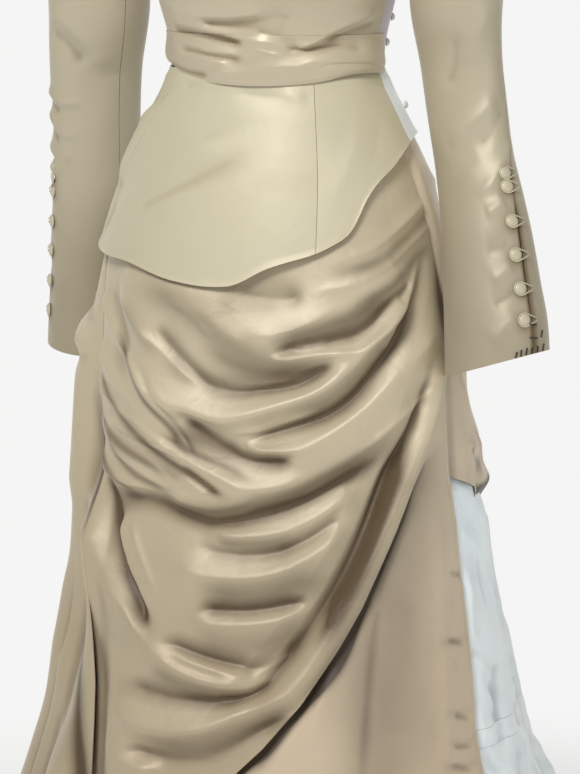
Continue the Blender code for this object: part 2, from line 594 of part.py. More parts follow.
def make_skirt(collection, gold, pale):
    """Make the apron drape, the panels round it, the tail and the underskirt."""
    def drape(across, down):
        angle, height = place_drape(across, down)
        return on_form(angle, height, drape_out(angle, height))
    cloth("skirt_drape", 30, 42, drape, gold, collection)

    def side_panel(across, down):
        height = PANEL_TOP + (HEM - PANEL_TOP) * down
        foot = DRAPE_EDGE[-1][1]
        edge = drape_edge_angle(np.maximum(height, foot))
        free = smooth_step((foot - height) / PANEL_FREE_RUN)
        first = (edge - PANEL_TUCK) * (1 - free) + (PANEL_LOW_ANGLE + gap_in_degrees(height)) * free
        last = straight_through(height, PANEL_EDGE)
        angle = first + (last - first) * across
        slit = smooth_step(1 - (angle - edge) / SLIT_WIDTH) * (1 - free)
        slit = slit * smooth_step((SLIT_TOP - height) / SLIT_FADE)
        seated = smooth_step((height - PANEL_TOP + PANEL_FREE_RUN) / PANEL_FREE_RUN)
        out = PANEL_OUT + (PANEL_SLIT_OUT - PANEL_OUT) * slit + (PANEL_TOP_OUT - PANEL_OUT) * seated
        return on_form(angle, height, out)
    cloth("skirt_side_panel_left", 7, 18, side_panel, gold, collection)

    def lower_front(across, down):
        height = LOWER_FRONT_TOP + (HEM - LOWER_FRONT_TOP) * down
        first = straight_through(height, DRAPE_SIDE) - APRON_TUCK
        last = PANEL_LOW_ANGLE - gap_in_degrees(height)
        angle = first + (last - first) * across
        sheltered = smooth_step((height - LOWER_FRONT_SHELTER) / LOWER_FRONT_RUN)
        out = PANEL_OUT + (UNDER_APRON_OUT - PANEL_OUT) * sheltered
        beside_back = smooth_step(1 - (angle - first) / APRON_TUCK_WIDTH)
        out = out + (np.minimum(out, UNDER_RIGHT_BACK_OUT) - out) * beside_back
        return on_form(angle, height, out)
    cloth("skirt_lower_front", 5, 6, lower_front, gold, collection)

    def right_back(across, down):
        height = SKIRT_TOP + (HEM - SKIRT_TOP) * down
        first = BACK_MEETING - 360 + gap_in_degrees(height)
        last = straight_through(height, DRAPE_SIDE)
        angle = first + (last - first) * across
        return on_form(angle, height, right_back_out(angle, height))
    cloth("skirt_right_back", 24, 13, right_back, gold, collection)

    def underskirt(across, height):
        turned = smooth_step((UNDERSKIRT_TURN_TOP - height) / UNDERSKIRT_TURN_RUN)
        first = UNDERSKIRT_START - UNDERSKIRT_TURN * turned
        last = BACK_MEETING - gap_in_degrees(height)
        angle = first + (last - first) * across
        past_panel = angle - straight_through(height, PANEL_EDGE)
        under_panel = smooth_step(1 - past_panel / UNDER_PANEL_WIDTH)
        under_tail = smooth_step((height - UNDER_TAIL_FOOT) / UNDER_TAIL_RUN)
        out = UNDERSKIRT_OUT + flute_relief(angle, height, UNDERSKIRT_FLUTES)
        out = out * (1 - under_tail) + UNDER_TAIL_OUT * under_tail
        tucked = UNDER_PANEL_OUT - UNDER_PANEL_DEEPER * under_tail
        return angle, out * (1 - under_panel) + tucked * under_panel

    def upper(across, down):
        height = SKIRT_TOP + (BAND_TOP - SKIRT_TOP) * down
        angle, out = underskirt(across, height)
        return on_form(angle, height, out)
    cloth("underskirt_upper", FLOUNCE_WAVES * 2, 7, upper, pale, collection)

    def band(across, down):
        height = BAND_TOP - TIER_GAP + (BAND_FOOT - BAND_TOP + TIER_GAP) * down
        angle, out = underskirt(across, height)
        return on_form(angle, height, out)
    cloth("underskirt_band", FLOUNCE_WAVES * 2, 1, band, pale, collection)

    def flounce(across, down):
        height = BAND_FOOT - TIER_GAP + (HEM - BAND_FOOT + TIER_GAP) * down
        angle, out = underskirt(across, height)
        wave = np.sin(across * FLOUNCE_WAVES * 2 * math.pi)
        clear = smooth_step((angle - straight_through(height, PANEL_EDGE)) / UNDER_PANEL_WIDTH)
        clear = clear * smooth_step((BACK_MEETING - angle) / MEETING_FLAT)
        out = out + FLOUNCE_DEPTH * wave * smooth_step(down / FLOUNCE_GATHER_SHARE) * clear
        return on_form(angle, height, out)
    cloth("underskirt_flounce", FLOUNCE_WAVES * 4, 3, flounce, pale, collection)

    def tail(across, down):
        angle = TAIL_START + (TAIL_END - TAIL_START) * across
        hem = straight_through(angle, TAIL_HEM)
        height = TAIL_TOP + (hem - TAIL_TOP) * down
        out = TAIL_OUT + fold_relief(angle, height, TAIL_FOLDS)
        out = out + TAIL_CORNER_TURN * smooth_step((TAIL_CORNER_HEIGHT - height) / TAIL_CORNER_RUN)
        tuck = smooth_step(1 - (angle - TAIL_TUCK_END) / TAIL_TUCK_WIDTH)
        return on_form(angle, height, out * (1 - tuck) + TAIL_TUCK_OUT * tuck)
    cloth("back_tail", 24, 10, tail, gold, collection)


def yoke_angle(height):
    """Return how far the armhole cuts into the panel beside it, in degrees."""
    return straight_through(height, YOKE_ANGLE)


def top_edge(share, side, neck):
    """Return the neckline and shoulder seam; side is -1 in front and 1 behind."""
    depth, neck_height = neck
    turn = np.radians(90.0) * np.clip(share / NECK_SHARE, 0, 1)
    run = np.clip((share - NECK_SHARE) / (1 - NECK_SHARE), 0, 1)
    shoulder_x, shoulder_y, shoulder_height = SHOULDER_POINT
    x = NECK_HALF_WIDTH * np.sin(turn) + (shoulder_x - NECK_HALF_WIDTH) * run
    y = NECK_Y + side * (depth * np.cos(turn) + 0.5 * SEAM_GAP) + (shoulder_y - NECK_Y) * run
    height = neck_height + (NECK_POINT_HEIGHT - neck_height) * (1 - np.cos(turn))
    height = height + (shoulder_height - NECK_POINT_HEIGHT) * run
    return np.stack([x, y, height - SHOULDER_HEIGHT], axis=-1)


def roll_over(section, top, rise):
    """Return the sections led over the shoulder to the top edge, which they meet level."""
    share = np.clip((rise - YOKE_BLEND_START) / (1 - YOKE_BLEND_START), 0, 1)
    inward = share ** YOKE_INWARD_BEND
    upward = smooth_step(share)
    blend = np.stack([upward, inward, upward], axis=-1)
    return section * (1 - blend) + top * blend


def place_front(across, down):
    """Place the front of the bodice, from its top edge to the waist."""
    share = 2 * across - 1
    rise = 1 - down
    height = WAIST + 0.5 * SEAM_GAP + (YOKE_TOP - WAIST - 0.5 * SEAM_GAP) * rise
    limit = SIDE_SEAM - yoke_angle(height) - gap_in_degrees(height)
    angle = limit * share
    above_sash = smooth_step((height - BODICE_FOLD_FOOT) / BODICE_FOLD_RUN)
    folds = fold_relief(angle, height, BODICE_FOLDS) * above_sash
    section = on_form(angle, height, BODICE_OUT + np.maximum(folds, BODICE_FOLD_SINK))
    top = top_edge(np.abs(share), -1, FRONT_NECK)
    top[:, 0] *= np.sign(share)
    return roll_over(section, top, rise)


def place_back(across, down, hand):
    """Place one back panel; hand is 1 for the wearer's left, -1 for the right."""
    rise = 1 - down
    height = WAIST + 0.5 * SEAM_GAP + (YOKE_TOP - WAIST - 0.5 * SEAM_GAP) * rise
    spare = gap_in_degrees(height)
    centre_share = across if hand > 0 else 1 - across
    edge = BACK_SEAM + yoke_angle(height) * BACK_YOKE_SHARE + spare
    angle = edge + (180.0 - spare - edge) * centre_share
    section = on_form(angle, height, BODICE_OUT + 0 * height)
    top = top_edge(1 - centre_share, 1, BACK_NECK)
    top[:, 0] = np.maximum(top[:, 0], 0.5 * SEAM_GAP)
    points = roll_over(section, top, rise)
    points[:, 0] *= hand
    return points


def make_bodice(collection, gold, pale, lilac):
    """Make the bodice above the waist, and the swathe over its waist seam."""
    cloth("bodice_front", 18, 12, place_front, gold, collection)
    for word, hand in (("left", 1.0), ("right", -1.0)):
        def side_panel(across, down, hand=hand):
            height = UNDERARM + (WAIST + 0.5 * SEAM_GAP - UNDERARM) * down
            spare = gap_in_degrees(height)
            turn = across if hand > 0 else 1 - across
            angle = SIDE_SEAM + spare + (BACK_SEAM - SIDE_SEAM - 2 * spare) * turn
            return on_form(angle * hand, height, BODICE_OUT + 0 * height)
        cloth("bodice_side_" + word, 3, 6, side_panel, lilac, collection)

        def back_panel(across, down, hand=hand):
            return place_back(across, down, hand)
        cloth("bodice_back_" + word, 7, 12, back_panel, pale, collection)

    def sash(across, down):
        angle = SASH_START + (SASH_END - SASH_START) * across
        height = SASH_TOP + (SASH_FOOT - SASH_TOP) * down
        out = SASH_OUT + np.maximum(fold_relief(angle, height, SASH_FOLDS), SASH_FOLD_SINK)
        return on_form(angle, height, out)
    cloth("waist_sash", 22, 5, sash, gold, collection)


def armhole(turn):
    """Return points of the left armhole's edge: turn 0 faces the front and 90 the shoulder."""
    heights = np.linspace(YOKE_TOP, UNDERARM, 9)
    rise = (heights - WAIST - 0.5 * SEAM_GAP) / (YOKE_TOP - WAIST - 0.5 * SEAM_GAP)
    front = place_front(np.ones(9), 1 - rise)
    back = place_back(np.zeros(9), 1 - rise, 1.0)
    floor_angle = np.linspace(SIDE_SEAM, BACK_SEAM, 5)
    under = on_form(floor_angle, np.full(5, UNDERARM), np.full(5, BODICE_OUT))
    ring = np.concatenate([front, under[1:-1], back[::-1]])
    middle = ring.mean(axis=0)
    # Turns are counted in the armhole's own plane: forwards is -Y and up is +Z.
    turns = np.degrees(np.arctan2(ring[:, 2] - middle[2], -(ring[:, 1] - middle[1]))) % 360.0
    order = np.argsort(turns)
    turns = turns[order]
    ring = ring[order]
    turns = np.concatenate([turns - 360, turns, turns + 360])
    ring = np.concatenate([ring, ring, ring])
    turn = np.asarray(turn, float) % 360.0
    return np.stack([np.interp(turn, turns, ring[:, axis]) for axis in range(3)], axis=-1)


def sleeve_frame(way, stations):
    """Return the middle, the direction down the arm and the half widths along a sleeve."""
    table = np.array(stations[::-1], float)
    height = table[-1, 0] + (table[0, 0] - table[-1, 0]) * way
    columns = curve_through(height, table)
    step = 0.004
    above = curve_through(height + step, table)
    below = curve_through(height - step, table)
    middle = np.stack([columns[..., 0], columns[..., 1], height - SHOULDER_HEIGHT], axis=-1)
    rise = np.minimum(height + step, table[-1, 0]) - np.maximum(height - step, table[0, 0])
    lean = (below[..., :2] - above[..., :2]) / rise[..., None]
    return middle, lean, columns[..., 2], columns[..., 3]


def sleeve_point(way, turn, stations, hem_tilt):
    """Return points of a left sleeve: way runs down it and turn round it from the front."""
    middle, lean, long_half, short_half = sleeve_frame(np.clip(way, 0, 1), stations)
    axis = math.radians(SLEEVE_LONG_AXIS)
    bearing = np.radians(turn)
    along = long_half * np.cos(bearing - axis)
    beside = short_half * np.sin(bearing - axis)
    forward = along * math.cos(axis) - beside * math.sin(axis)
    outward = along * math.sin(axis) + beside * math.cos(axis)
    # The ring is square to the arm, and tips up further at the outer back of the hem.
    tip = math.tan(math.radians(hem_tilt)) * smooth_step((way - HEM_TILT_START) / (1 - HEM_TILT_START))
    lift = outward * (lean[..., 0] + tip) - forward * lean[..., 1] - HEM_TILT_FRONT * forward * tip
    points = middle + np.stack([outward, -forward, lift], axis=-1)
    return points


def place_sleeve(across, down, start, end, sleeve):
    """Place one piece of a sleeve, from the armhole to the hem."""
    hand, stations, hem_tilt = sleeve
    way = np.clip((down - SLEEVE_CAP_SHARE) / (1 - SLEEVE_CAP_SHARE), 0, 1)
    across = across if hand > 0 else 1 - across
    first = start(way)
    last = end(way)
    spare = np.degrees(SEAM_GAP / SLEEVE_MEAN_WIDTH)
    turn = first + spare + (last - first - 2 * spare) * across
    tube = sleeve_point(way, turn, stations, hem_tilt)
    # The cap leaves the armhole sideways before it turns down the arm.
    cap = armhole(turn)
    cap[:, 0] += ARMHOLE_CLEARANCE
    knee = cap + (tube - cap) * np.array([CAP_SIDEWAYS, CAP_FORWARD, CAP_DROP])
    share = np.clip(down / SLEEVE_CAP_SHARE, 0, 1)[:, None]
    rounded = cap * (1 - share) ** 2 + 2 * knee * share * (1 - share) + tube * share ** 2
    points = np.where(share < 1, rounded, tube)
    points[:, 0] *= hand
    return points


def inner_seam(way):
    """Return the angle of a sleeve's inner seam."""
    return curve_through(way, SLEEVE_SEAMS)[..., 0]


def outer_seam(way):
    """Return the angle of a sleeve's outer seam, where the cuff's slit is."""
    return curve_through(way, SLEEVE_SEAMS)[..., 1]


def make_sleeves(collection, gold):
    """Make both sleeves, an upper and an under piece each."""
    def upper_end(way):
        return inner_seam(way) + 360

    for word, sleeve in SLEEVES:
        def under(across, down, sleeve=sleeve):
            return place_sleeve(across, down, inner_seam, outer_seam, sleeve)

        def upper(across, down, sleeve=sleeve):
            return place_sleeve(across, down, outer_seam, upper_end, sleeve)
        cloth("sleeve_%s_under" % word, UNDER_COLUMNS, SLEEVE_RINGS, under, gold, collection)
        cloth("sleeve_%s_upper" % word, UPPER_COLUMNS, SLEEVE_RINGS, upper, gold, collection)


def button_shape(name, radius, height, finish):
    """Return the mesh of a covered button: a ball pressed flat."""
    shape = bpy.data.meshes.new(name)
    ball = bmesh.new()
    bmesh.ops.create_uvsphere(ball, u_segments=BUTTON_SIDES, v_segments=BUTTON_RINGS, radius=radius)
    bmesh.ops.scale(ball, verts=ball.verts, vec=(1, 1, 0.5 * height / radius))
    ball.to_mesh(shape)
    ball.free()
    shape.shade_smooth()
    shape.materials.append(finish)
    return shape


def place_button(name, shape, foot, away, collection):
    """Set a button on the cloth at its foot, facing away from it."""
    half = 0.5 * shape_height(shape)
    button = bpy.data.objects.new(name, shape)
    turned = away.to_track_quat("Z", "Y").to_matrix().to_4x4()
    button.matrix_world = Matrix.Translation(foot + away * (BUTTON_LIFT + half)) @ turned
    collection.objects.link(button)


def shape_height(shape):
    """Return how thick a button's mesh is."""
    return max(vertex.co.z for vertex in shape.vertices) - min(vertex.co.z for vertex in shape.vertices)


def make_cuff_buttons(collection, gold):
    """Make six covered buttons beside each cuff's slit, on the faces of the under piece."""
    shape = button_shape("cuff button", BUTTON_RADIUS, BUTTON_HEIGHT, gold)
    for word, sleeve in SLEEVES:
        hand = sleeve[0]
        for index, (down, across) in enumerate(CUFF_BUTTONS):
            column = math.floor(across * UNDER_COLUMNS)
            row = math.floor(down * SLEEVE_RINGS)
            corner_across = np.array([column, column + 1, column, column + 1]) / UNDER_COLUMNS
            corner_down = np.array([row, row, row + 1, row + 1]) / SLEEVE_RINGS
            if hand < 0:
                corner_across = 1 - corner_across
            corners = place_sleeve(corner_across, corner_down, inner_seam, outer_seam, sleeve)
            aside = across * UNDER_COLUMNS - column
            below = down * SLEEVE_RINGS - row
            shares = np.array([(1 - aside) * (1 - below), aside * (1 - below), (1 - aside) * below,
                               aside * below])
            foot = Vector(shares @ corners)
            away = np.cross(corners[1] - corners[2], corners[0] - corners[3]) * hand
            name = "cuff_button_%s_%d" % (word, index + 1)
            place_button(name, shape, foot, Vector(away).normalized(), collection)


def make_seam_buttons(collection, pale):
    """Make the small covered buttons down the wearer's left side-back seam."""
    shape = button_shape("seam button", SEAM_BUTTON_RADIUS, SEAM_BUTTON_HEIGHT, pale)
    for index, (height, out) in enumerate(SEAM_BUTTONS):
        foot = Vector(on_form(np.array(SEAM_BUTTON_ANGLE), np.array(height), np.array(out)))
        tip = Vector(on_form(np.array(SEAM_BUTTON_ANGLE), np.array(height), np.array(out + 0.01)))
        place_button("seam_button_%d" % (index + 1), shape, foot, (tip - foot).normalized(), collection)


def main():
    """Build the gown."""
    for old in list(bpy.data.objects):
        bpy.data.objects.remove(old)
    collection = bpy.data.collections.new("edwardian_dress")
    bpy.context.scene.collection.children.link(collection)
    gold = material("gold satin", GOLD)
    pale = material("pale satin", PALE)
    lilac = material("lilac satin", LILAC)
    make_bodice(collection, gold, pale, lilac)
    make_basque(collection, gold, pale)
    make_skirt(collection, gold, pale)
    make_sleeves(collection, gold)
    make_cuff_buttons(collection, gold)
    make_seam_buttons(collection, pale)


main()
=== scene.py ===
"""Looks of a worn satin gown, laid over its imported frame.

The gown faces -Y, the wearer's left is +X and the floor lies one shoulder height below the
origin. Heights in the tables are above the floor, and angles run round the body from the
centre front, in degrees, growing towards the wearer's left. Sizes are in metres, apart from
the places along creases, which are in millimetres.
"""
import logging
import math
from dataclasses import dataclass
from enum import Enum
from functools import cached_property

import bmesh
import bpy
import numpy as np
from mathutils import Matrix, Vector


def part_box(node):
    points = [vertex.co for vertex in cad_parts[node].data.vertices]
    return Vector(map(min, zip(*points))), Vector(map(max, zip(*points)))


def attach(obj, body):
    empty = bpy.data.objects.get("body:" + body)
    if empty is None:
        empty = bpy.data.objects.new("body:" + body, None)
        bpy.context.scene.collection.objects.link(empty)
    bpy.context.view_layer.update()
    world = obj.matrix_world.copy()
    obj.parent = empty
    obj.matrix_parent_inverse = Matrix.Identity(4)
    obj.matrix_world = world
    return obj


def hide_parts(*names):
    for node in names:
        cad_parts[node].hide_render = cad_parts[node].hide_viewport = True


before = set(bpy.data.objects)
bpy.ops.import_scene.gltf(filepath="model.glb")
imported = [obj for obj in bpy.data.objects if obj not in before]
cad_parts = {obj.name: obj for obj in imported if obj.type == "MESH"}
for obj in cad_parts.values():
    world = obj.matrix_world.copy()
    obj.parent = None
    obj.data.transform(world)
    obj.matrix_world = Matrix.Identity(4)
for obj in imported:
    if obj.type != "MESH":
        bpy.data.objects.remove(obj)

log = logging.getLogger("gown")

SHOULDER_HEIGHT = 1.43
WAIST = 1.05
UNDERARM = 1.255
YOKE_TOP = 1.37
HEM = 0.012
SKIRT_TOP = 1.02
SEAM_GAP = 0.0004
SIDE_SEAM = 85.0
BACK_SEAM = 118.0
METRES_PER_DEGREE = 0.0037
SHARP_ANGLE = 75.0
TINY = 1e-12
MERGE = 1e-6
LAST_CELL = 1.001
MILLIMETRES = 1000.0
RIPPLES = 7
RIPPLE_PITCH = (0.6, 1.5)
RIPPLE_SPREAD = 3.2


class Hold(Enum):
    """How a sheet of cloth is held."""

    HUNG = "hung"
    DRAPED = "draped"
    GATHERED = "gathered"
    STRETCHED = "stretched"
    FOLDED = "folded"


class Tone(Enum):
    """The record's material slots."""

    GOLD = "gold_satin"
    PALE = "pale_satin"
    LILAC = "lilac_satin"
    BUTTON = "button_cover"


def smooth_step(value: np.ndarray) -> np.ndarray:
    """Return 0 below 0, 1 above 1 and a smooth rise between."""
    value = np.clip(value, 0.0, 1.0)
    return value * value * (3 - 2 * value)


def curve_through(value: np.ndarray, rows: tuple) -> np.ndarray:
    """Read a table smoothly.

    Args:
        value: where to read, in the units of the first column.
        rows: the table; its first column rises.

    Returns:
        The further columns, along a new last axis.
    """
    table = np.array(rows, float)
    keys = table[:, 0]
    columns = table[:, 1:]
    value = np.clip(np.asarray(value, float), keys[0], keys[-1])
    low = np.clip(np.searchsorted(keys, value) - 1, 0, len(keys) - 2)
    slope = np.gradient(columns, keys, axis=0)
    step = (keys[low + 1] - keys[low])[..., None]
    share = (value - keys[low])[..., None] / step
    square = share * share
    cube = square * share
    return ((2 * cube - 3 * square + 1) * columns[low]
            + (cube - 2 * square + share) * step * slope[low]
            + (3 * square - 2 * cube) * columns[low + 1]
            + (cube - square) * step * slope[low + 1])


def straight_through(value: np.ndarray, rows: tuple) -> np.ndarray:
    """Return a table's second column at value, in straight runs."""
    table = np.array(rows, float)
    return np.interp(value, table[:, 0], table[:, 1])


def wander(places: np.ndarray, scale: float, seed: int) -> np.ndarray:
    """Return a smooth uneven value from about -1 to 1 at each place.

    Args:
        places: positions, their axes last.
        scale: the size of the unevenness.
        seed: which of many patterns.

    Returns:
        The values, one for each place.
    """
    draw = np.random.default_rng(seed)
    total = np.zeros(places.shape[:-1])
    for _ in range(RIPPLES):
        direction = draw.normal(size=places.shape[-1])
        direction *= draw.uniform(*RIPPLE_PITCH) / (scale * np.linalg.norm(direction))
        total += np.sin(places @ direction * math.pi + draw.uniform(0, 2 * math.pi))
    return total / RIPPLE_SPREAD


@dataclass(frozen=True)
class Form:
    """The shape that the cut gives, as level sections.

    Each row holds a height, the half width, the depth in front and the depth behind.
    """

    rows: tuple = (
        (0.010, 0.382, 0.325, 0.470),
        (0.150, 0.329, 0.290, 0.388),
        (0.300, 0.272, 0.250, 0.334),
        (0.350, 0.255, 0.238, 0.327),
        (0.400, 0.246, 0.226, 0.311),
        (0.450, 0.237, 0.213, 0.293),
        (0.500, 0.229, 0.205, 0.277),
        (0.600, 0.222, 0.190, 0.245),
        (0.750, 0.212, 0.168, 0.212),
        (0.850, 0.195, 0.147, 0.182),
        (0.900, 0.180, 0.134, 0.161),
        (0.950, 0.161, 0.119, 0.136),
        (1.000, 0.137, 0.102, 0.110),
        (1.050, 0.117, 0.089, 0.092),
        (1.080, 0.119, 0.093, 0.090),
        (1.120, 0.129, 0.104, 0.092),
        (1.170, 0.141, 0.118, 0.097),
        (1.220, 0.151, 0.127, 0.101),
        (1.260, 0.157, 0.123, 0.104),
        (1.310, 0.160, 0.105, 0.104),
        (1.370, 0.158, 0.080, 0.094),
    )

    def section(self, height: np.ndarray) -> tuple:
        """Return the half width and the two depths at a height."""
        return tuple(np.moveaxis(curve_through(height, self.rows), -1, 0))

    def place(self, angle: np.ndarray, height: np.ndarray, out: np.ndarray) -> np.ndarray:
        """Return points on the form, moved straight out from it.

        Args:
            angle: angles round the form.
            height: heights above the floor.
            out: how far to move each point out.

        Returns:
            Points in the frame, their axes last.
        """
        turn = np.radians(angle)
        width, front, back = self.section(height)
        sine = np.sin(turn)
        cosine = np.cos(turn)
        depth = np.where(cosine > 0, front, back)
        away = np.stack([sine / width, -cosine / depth], axis=-1)
        away /= np.linalg.norm(away, axis=-1, keepdims=True)
        x = width * sine + out * away[..., 0]
        y = -depth * cosine + out * away[..., 1]
        return np.stack([x, y, height - SHOULDER_HEIGHT + 0 * x], axis=-1)

    def arc(self, angle: np.ndarray, height: np.ndarray) -> np.ndarray:
        """Return metres round the form for each degree.

        Args:
            angle: angles round the form.
            height: heights above the floor.

        Returns:
            The metres for each degree, at each angle and height.
        """
        width, front, back = self.section(height)
        depth = np.where(np.cos(np.radians(angle)) > 0, front, back)
        return np.radians(1.0) * 0.5 * (width + depth)

    def seam_spare(self, height: np.ndarray) -> np.ndarray:
        """Return half a seam's gap, as an angle."""
        width, front, back = self.section(height)
        return np.degrees(SEAM_GAP / (width + np.minimum(front, back)))


FORM = Form()


def way_along(line: np.ndarray, per_degree: float = METRES_PER_DEGREE) -> np.ndarray:
    """Return the metres along a line of angles and heights, at each of its places."""
    steps = np.hypot(np.diff(line[:, 0]) * per_degree, np.diff(line[:, 1]))
    return np.concatenate([[0.0], np.cumsum(steps)])


def nearest_on_line(angle: np.ndarray, height: np.ndarray, line: np.ndarray, way: np.ndarray,
                    arc: np.ndarray) -> tuple:
    """Find the place of a line that lies nearest to each spot.

    Args:
        angle: the spots' angles.
        height: the spots' heights.
        line: the line's places, rows of angle and height.
        way: the share of the way along the line at each of its places.
        arc: metres for each degree at the spots.

    Returns:
        The distance to the line, the share of the way there, and the side: above nought
        over a line that runs right, or to the right of one that runs down.
    """
    nearest = np.full(np.shape(angle), np.inf)
    along = np.zeros(np.shape(angle))
    side = np.zeros(np.shape(angle))
    for index in range(len(line) - 1):
        run_x = (line[index + 1, 0] - line[index, 0]) * arc
        run_y = line[index + 1, 1] - line[index, 1]
        from_x = (angle - line[index, 0]) * arc
        from_y = height - line[index, 1]
        part = np.clip((from_x * run_x + from_y * run_y) / (run_x ** 2 + run_y ** 2 + TINY), 0, 1)
        distance = np.hypot(from_x - part * run_x, from_y - part * run_y)
        closer = distance < nearest
        nearest = np.where(closer, distance, nearest)
        along = np.where(closer, way[index] + (way[index + 1] - way[index]) * part, along)
        side = np.where(closer, run_x * from_y - run_y * from_x, side)
    return nearest, along, side


@dataclass(frozen=True)
class Folds:
    """Folds of a piece, listed left to right.

    Each row holds the start's, middle's and end's angle and height, the width above the
    fold's line, the width below it, and its depth: a ridge above nought, a trough below.
    """

    rows: tuple = ()
    runs: int = 14
    fade: float = 0.22
    end_share: float = 0.12

    def relief(self, angle: np.ndarray, height: np.ndarray) -> np.ndarray:
        """Return how far the folds lift or sink the cloth.

        Args:
            angle: angles round the form.
            height: heights above the floor.

        Returns:
            The lift, in metres.
        """
        total = np.zeros(np.shape(angle))
        arc = FORM.arc(angle, height)
        share = np.linspace(0.0, 1.0, self.runs + 1)
        rest = 1 - share
        for start_a, start_h, mid_a, mid_h, end_a, end_h, above, below, depth in self.rows:
            pull_a = 2 * mid_a - 0.5 * (start_a + end_a)
            pull_h = 2 * mid_h - 0.5 * (start_h + end_h)
            line_a = rest * rest * start_a + 2 * rest * share * pull_a + share * share * end_a
            line_h = rest * rest * start_h + 2 * rest * share * pull_h + share * share * end_h
            line = np.stack([line_a, line_h], axis=-1)
            nearest, along, side = nearest_on_line(angle, height, line, share, arc)
            width = np.where(side > 0, above, below)
            ends = smooth_step(along / self.fade) * smooth_step((1 - along) / self.fade)
            strength = self.end_share + (1 - self.end_share) * ends
            total += depth * np.exp(-(nearest / width) ** 2) * strength
        return total


@dataclass(frozen=True)
class View:
    """The photograph's view. Places in it are metres across from the body's axis and metres up."""

    azimuth: float = 25.0
    distance: float = 3.2
    eye_height: float = 1.25
    centre_height: float = 0.700
    axis_aside: float = 0.01404
    nearest: float = 2.5
    farthest: float = 3.9
    steps: int = 281

    def directions(self) -> tuple:
        """Return the level directions to the camera and to its right."""
        turn = math.radians(self.azimuth)
        return (Vector((math.sin(turn), -math.cos(turn), 0)),
                Vector((math.cos(turn), math.sin(turn), 0)))

    def target(self) -> Vector:
        """Return the point that the camera looks at, with its height above the floor."""
        return self.directions()[1] * self.axis_aside + Vector((0, 0, self.centre_height))

    def eye(self) -> Vector:
        """Return the camera's place.

        Returns:
            The place, with its height above the floor.
        """
        place = self.target() + self.directions()[0] * self.distance
        place.z = self.eye_height
        return place

    def on_form(self, places: np.ndarray) -> np.ndarray:
        """Lead places in the picture onto the form.

        Args:
            places: rows of across and up.

        Returns:
            Rows of angle and height; a place beside the form goes to its outline.
        """
        eye = self.eye()
        forward = (self.target() - eye).normalized()
        right = forward.cross(Vector((0, 0, 1))).normalized()
        upward = right.cross(forward)
        aside = (places[:, 0] - self.axis_aside) / self.distance
        rise = (places[:, 1] - self.centre_height) / self.distance
        ray = (np.array(forward) + aside[:, None] * np.array(right)
               + rise[:, None] * np.array(upward))
        reach = np.linspace(self.nearest, self.farthest, self.steps)
        spots = np.array(eye) + reach[:, None, None] * ray
        width, front, back = FORM.section(spots[..., 2])
        depth = np.where(spots[..., 1] < 0, front, back)
        outside = (spots[..., 0] / width) ** 2 + (spots[..., 1] / depth) ** 2 - 1
        inside = outside < 0
        first = np.where(inside.any(axis=0), inside.argmax(axis=0), outside.argmin(axis=0))
        column = np.arange(len(places))
        before = np.maximum(first - 1, 0)
        far = outside[before, column]
        near = outside[first, column]
        share = np.where(inside.any(axis=0), far / np.maximum(far - near, TINY), 1.0)[:, None]
        met = spots[before, column] * (1 - share) + spots[first, column] * share
        width, front, back = FORM.section(met[:, 2])
        depth = np.where(met[:, 1] < 0, front, back)
        angle = np.degrees(np.arctan2(met[:, 0] / width, -met[:, 1] / depth))
        return np.stack([angle, met[:, 2]], axis=-1)


VIEW = View()


def smooth_line(points: np.ndarray, spacing: int = 8) -> np.ndarray:
    """Lead a smooth line through points.

    Args:
        points: rows of two values.
        spacing: how many places each stretch between two points gets.

    Returns:
        The line's places.
    """
    ends = np.concatenate([points[:1], points, points[-1:]])
    before, start = ends[:-3, None], ends[1:-2, None]
    end, after = ends[2:-1, None], ends[3:, None]
    share = np.linspace(0, 1, spacing, endpoint=False)[None, :, None]
    line = 0.5 * (2 * start + (end - before) * share
                  + (2 * before - 5 * start + 4 * end - after) * share ** 2
                  + (3 * start - before - 3 * end + after) * share ** 3)
    return np.concatenate([line.reshape(-1, 2), points[-1:]])


def lead_onto_form(points: tuple, seen: bool) -> np.ndarray:
    """Lead a line of a crease onto the form.

    Args:
        points: its places: millimetres across and up as seen in the photograph's view, or
            degrees round the form and millimetres above the floor.
        seen: whether they are given as in the view.

    Returns:
        Rows of angle and height, in degrees and metres.
    """
    units = (MILLIMETRES, MILLIMETRES) if seen else (1.0, MILLIMETRES)
    line = smooth_line(np.array(points, float) / units)
    return VIEW.on_form(line) if seen else line


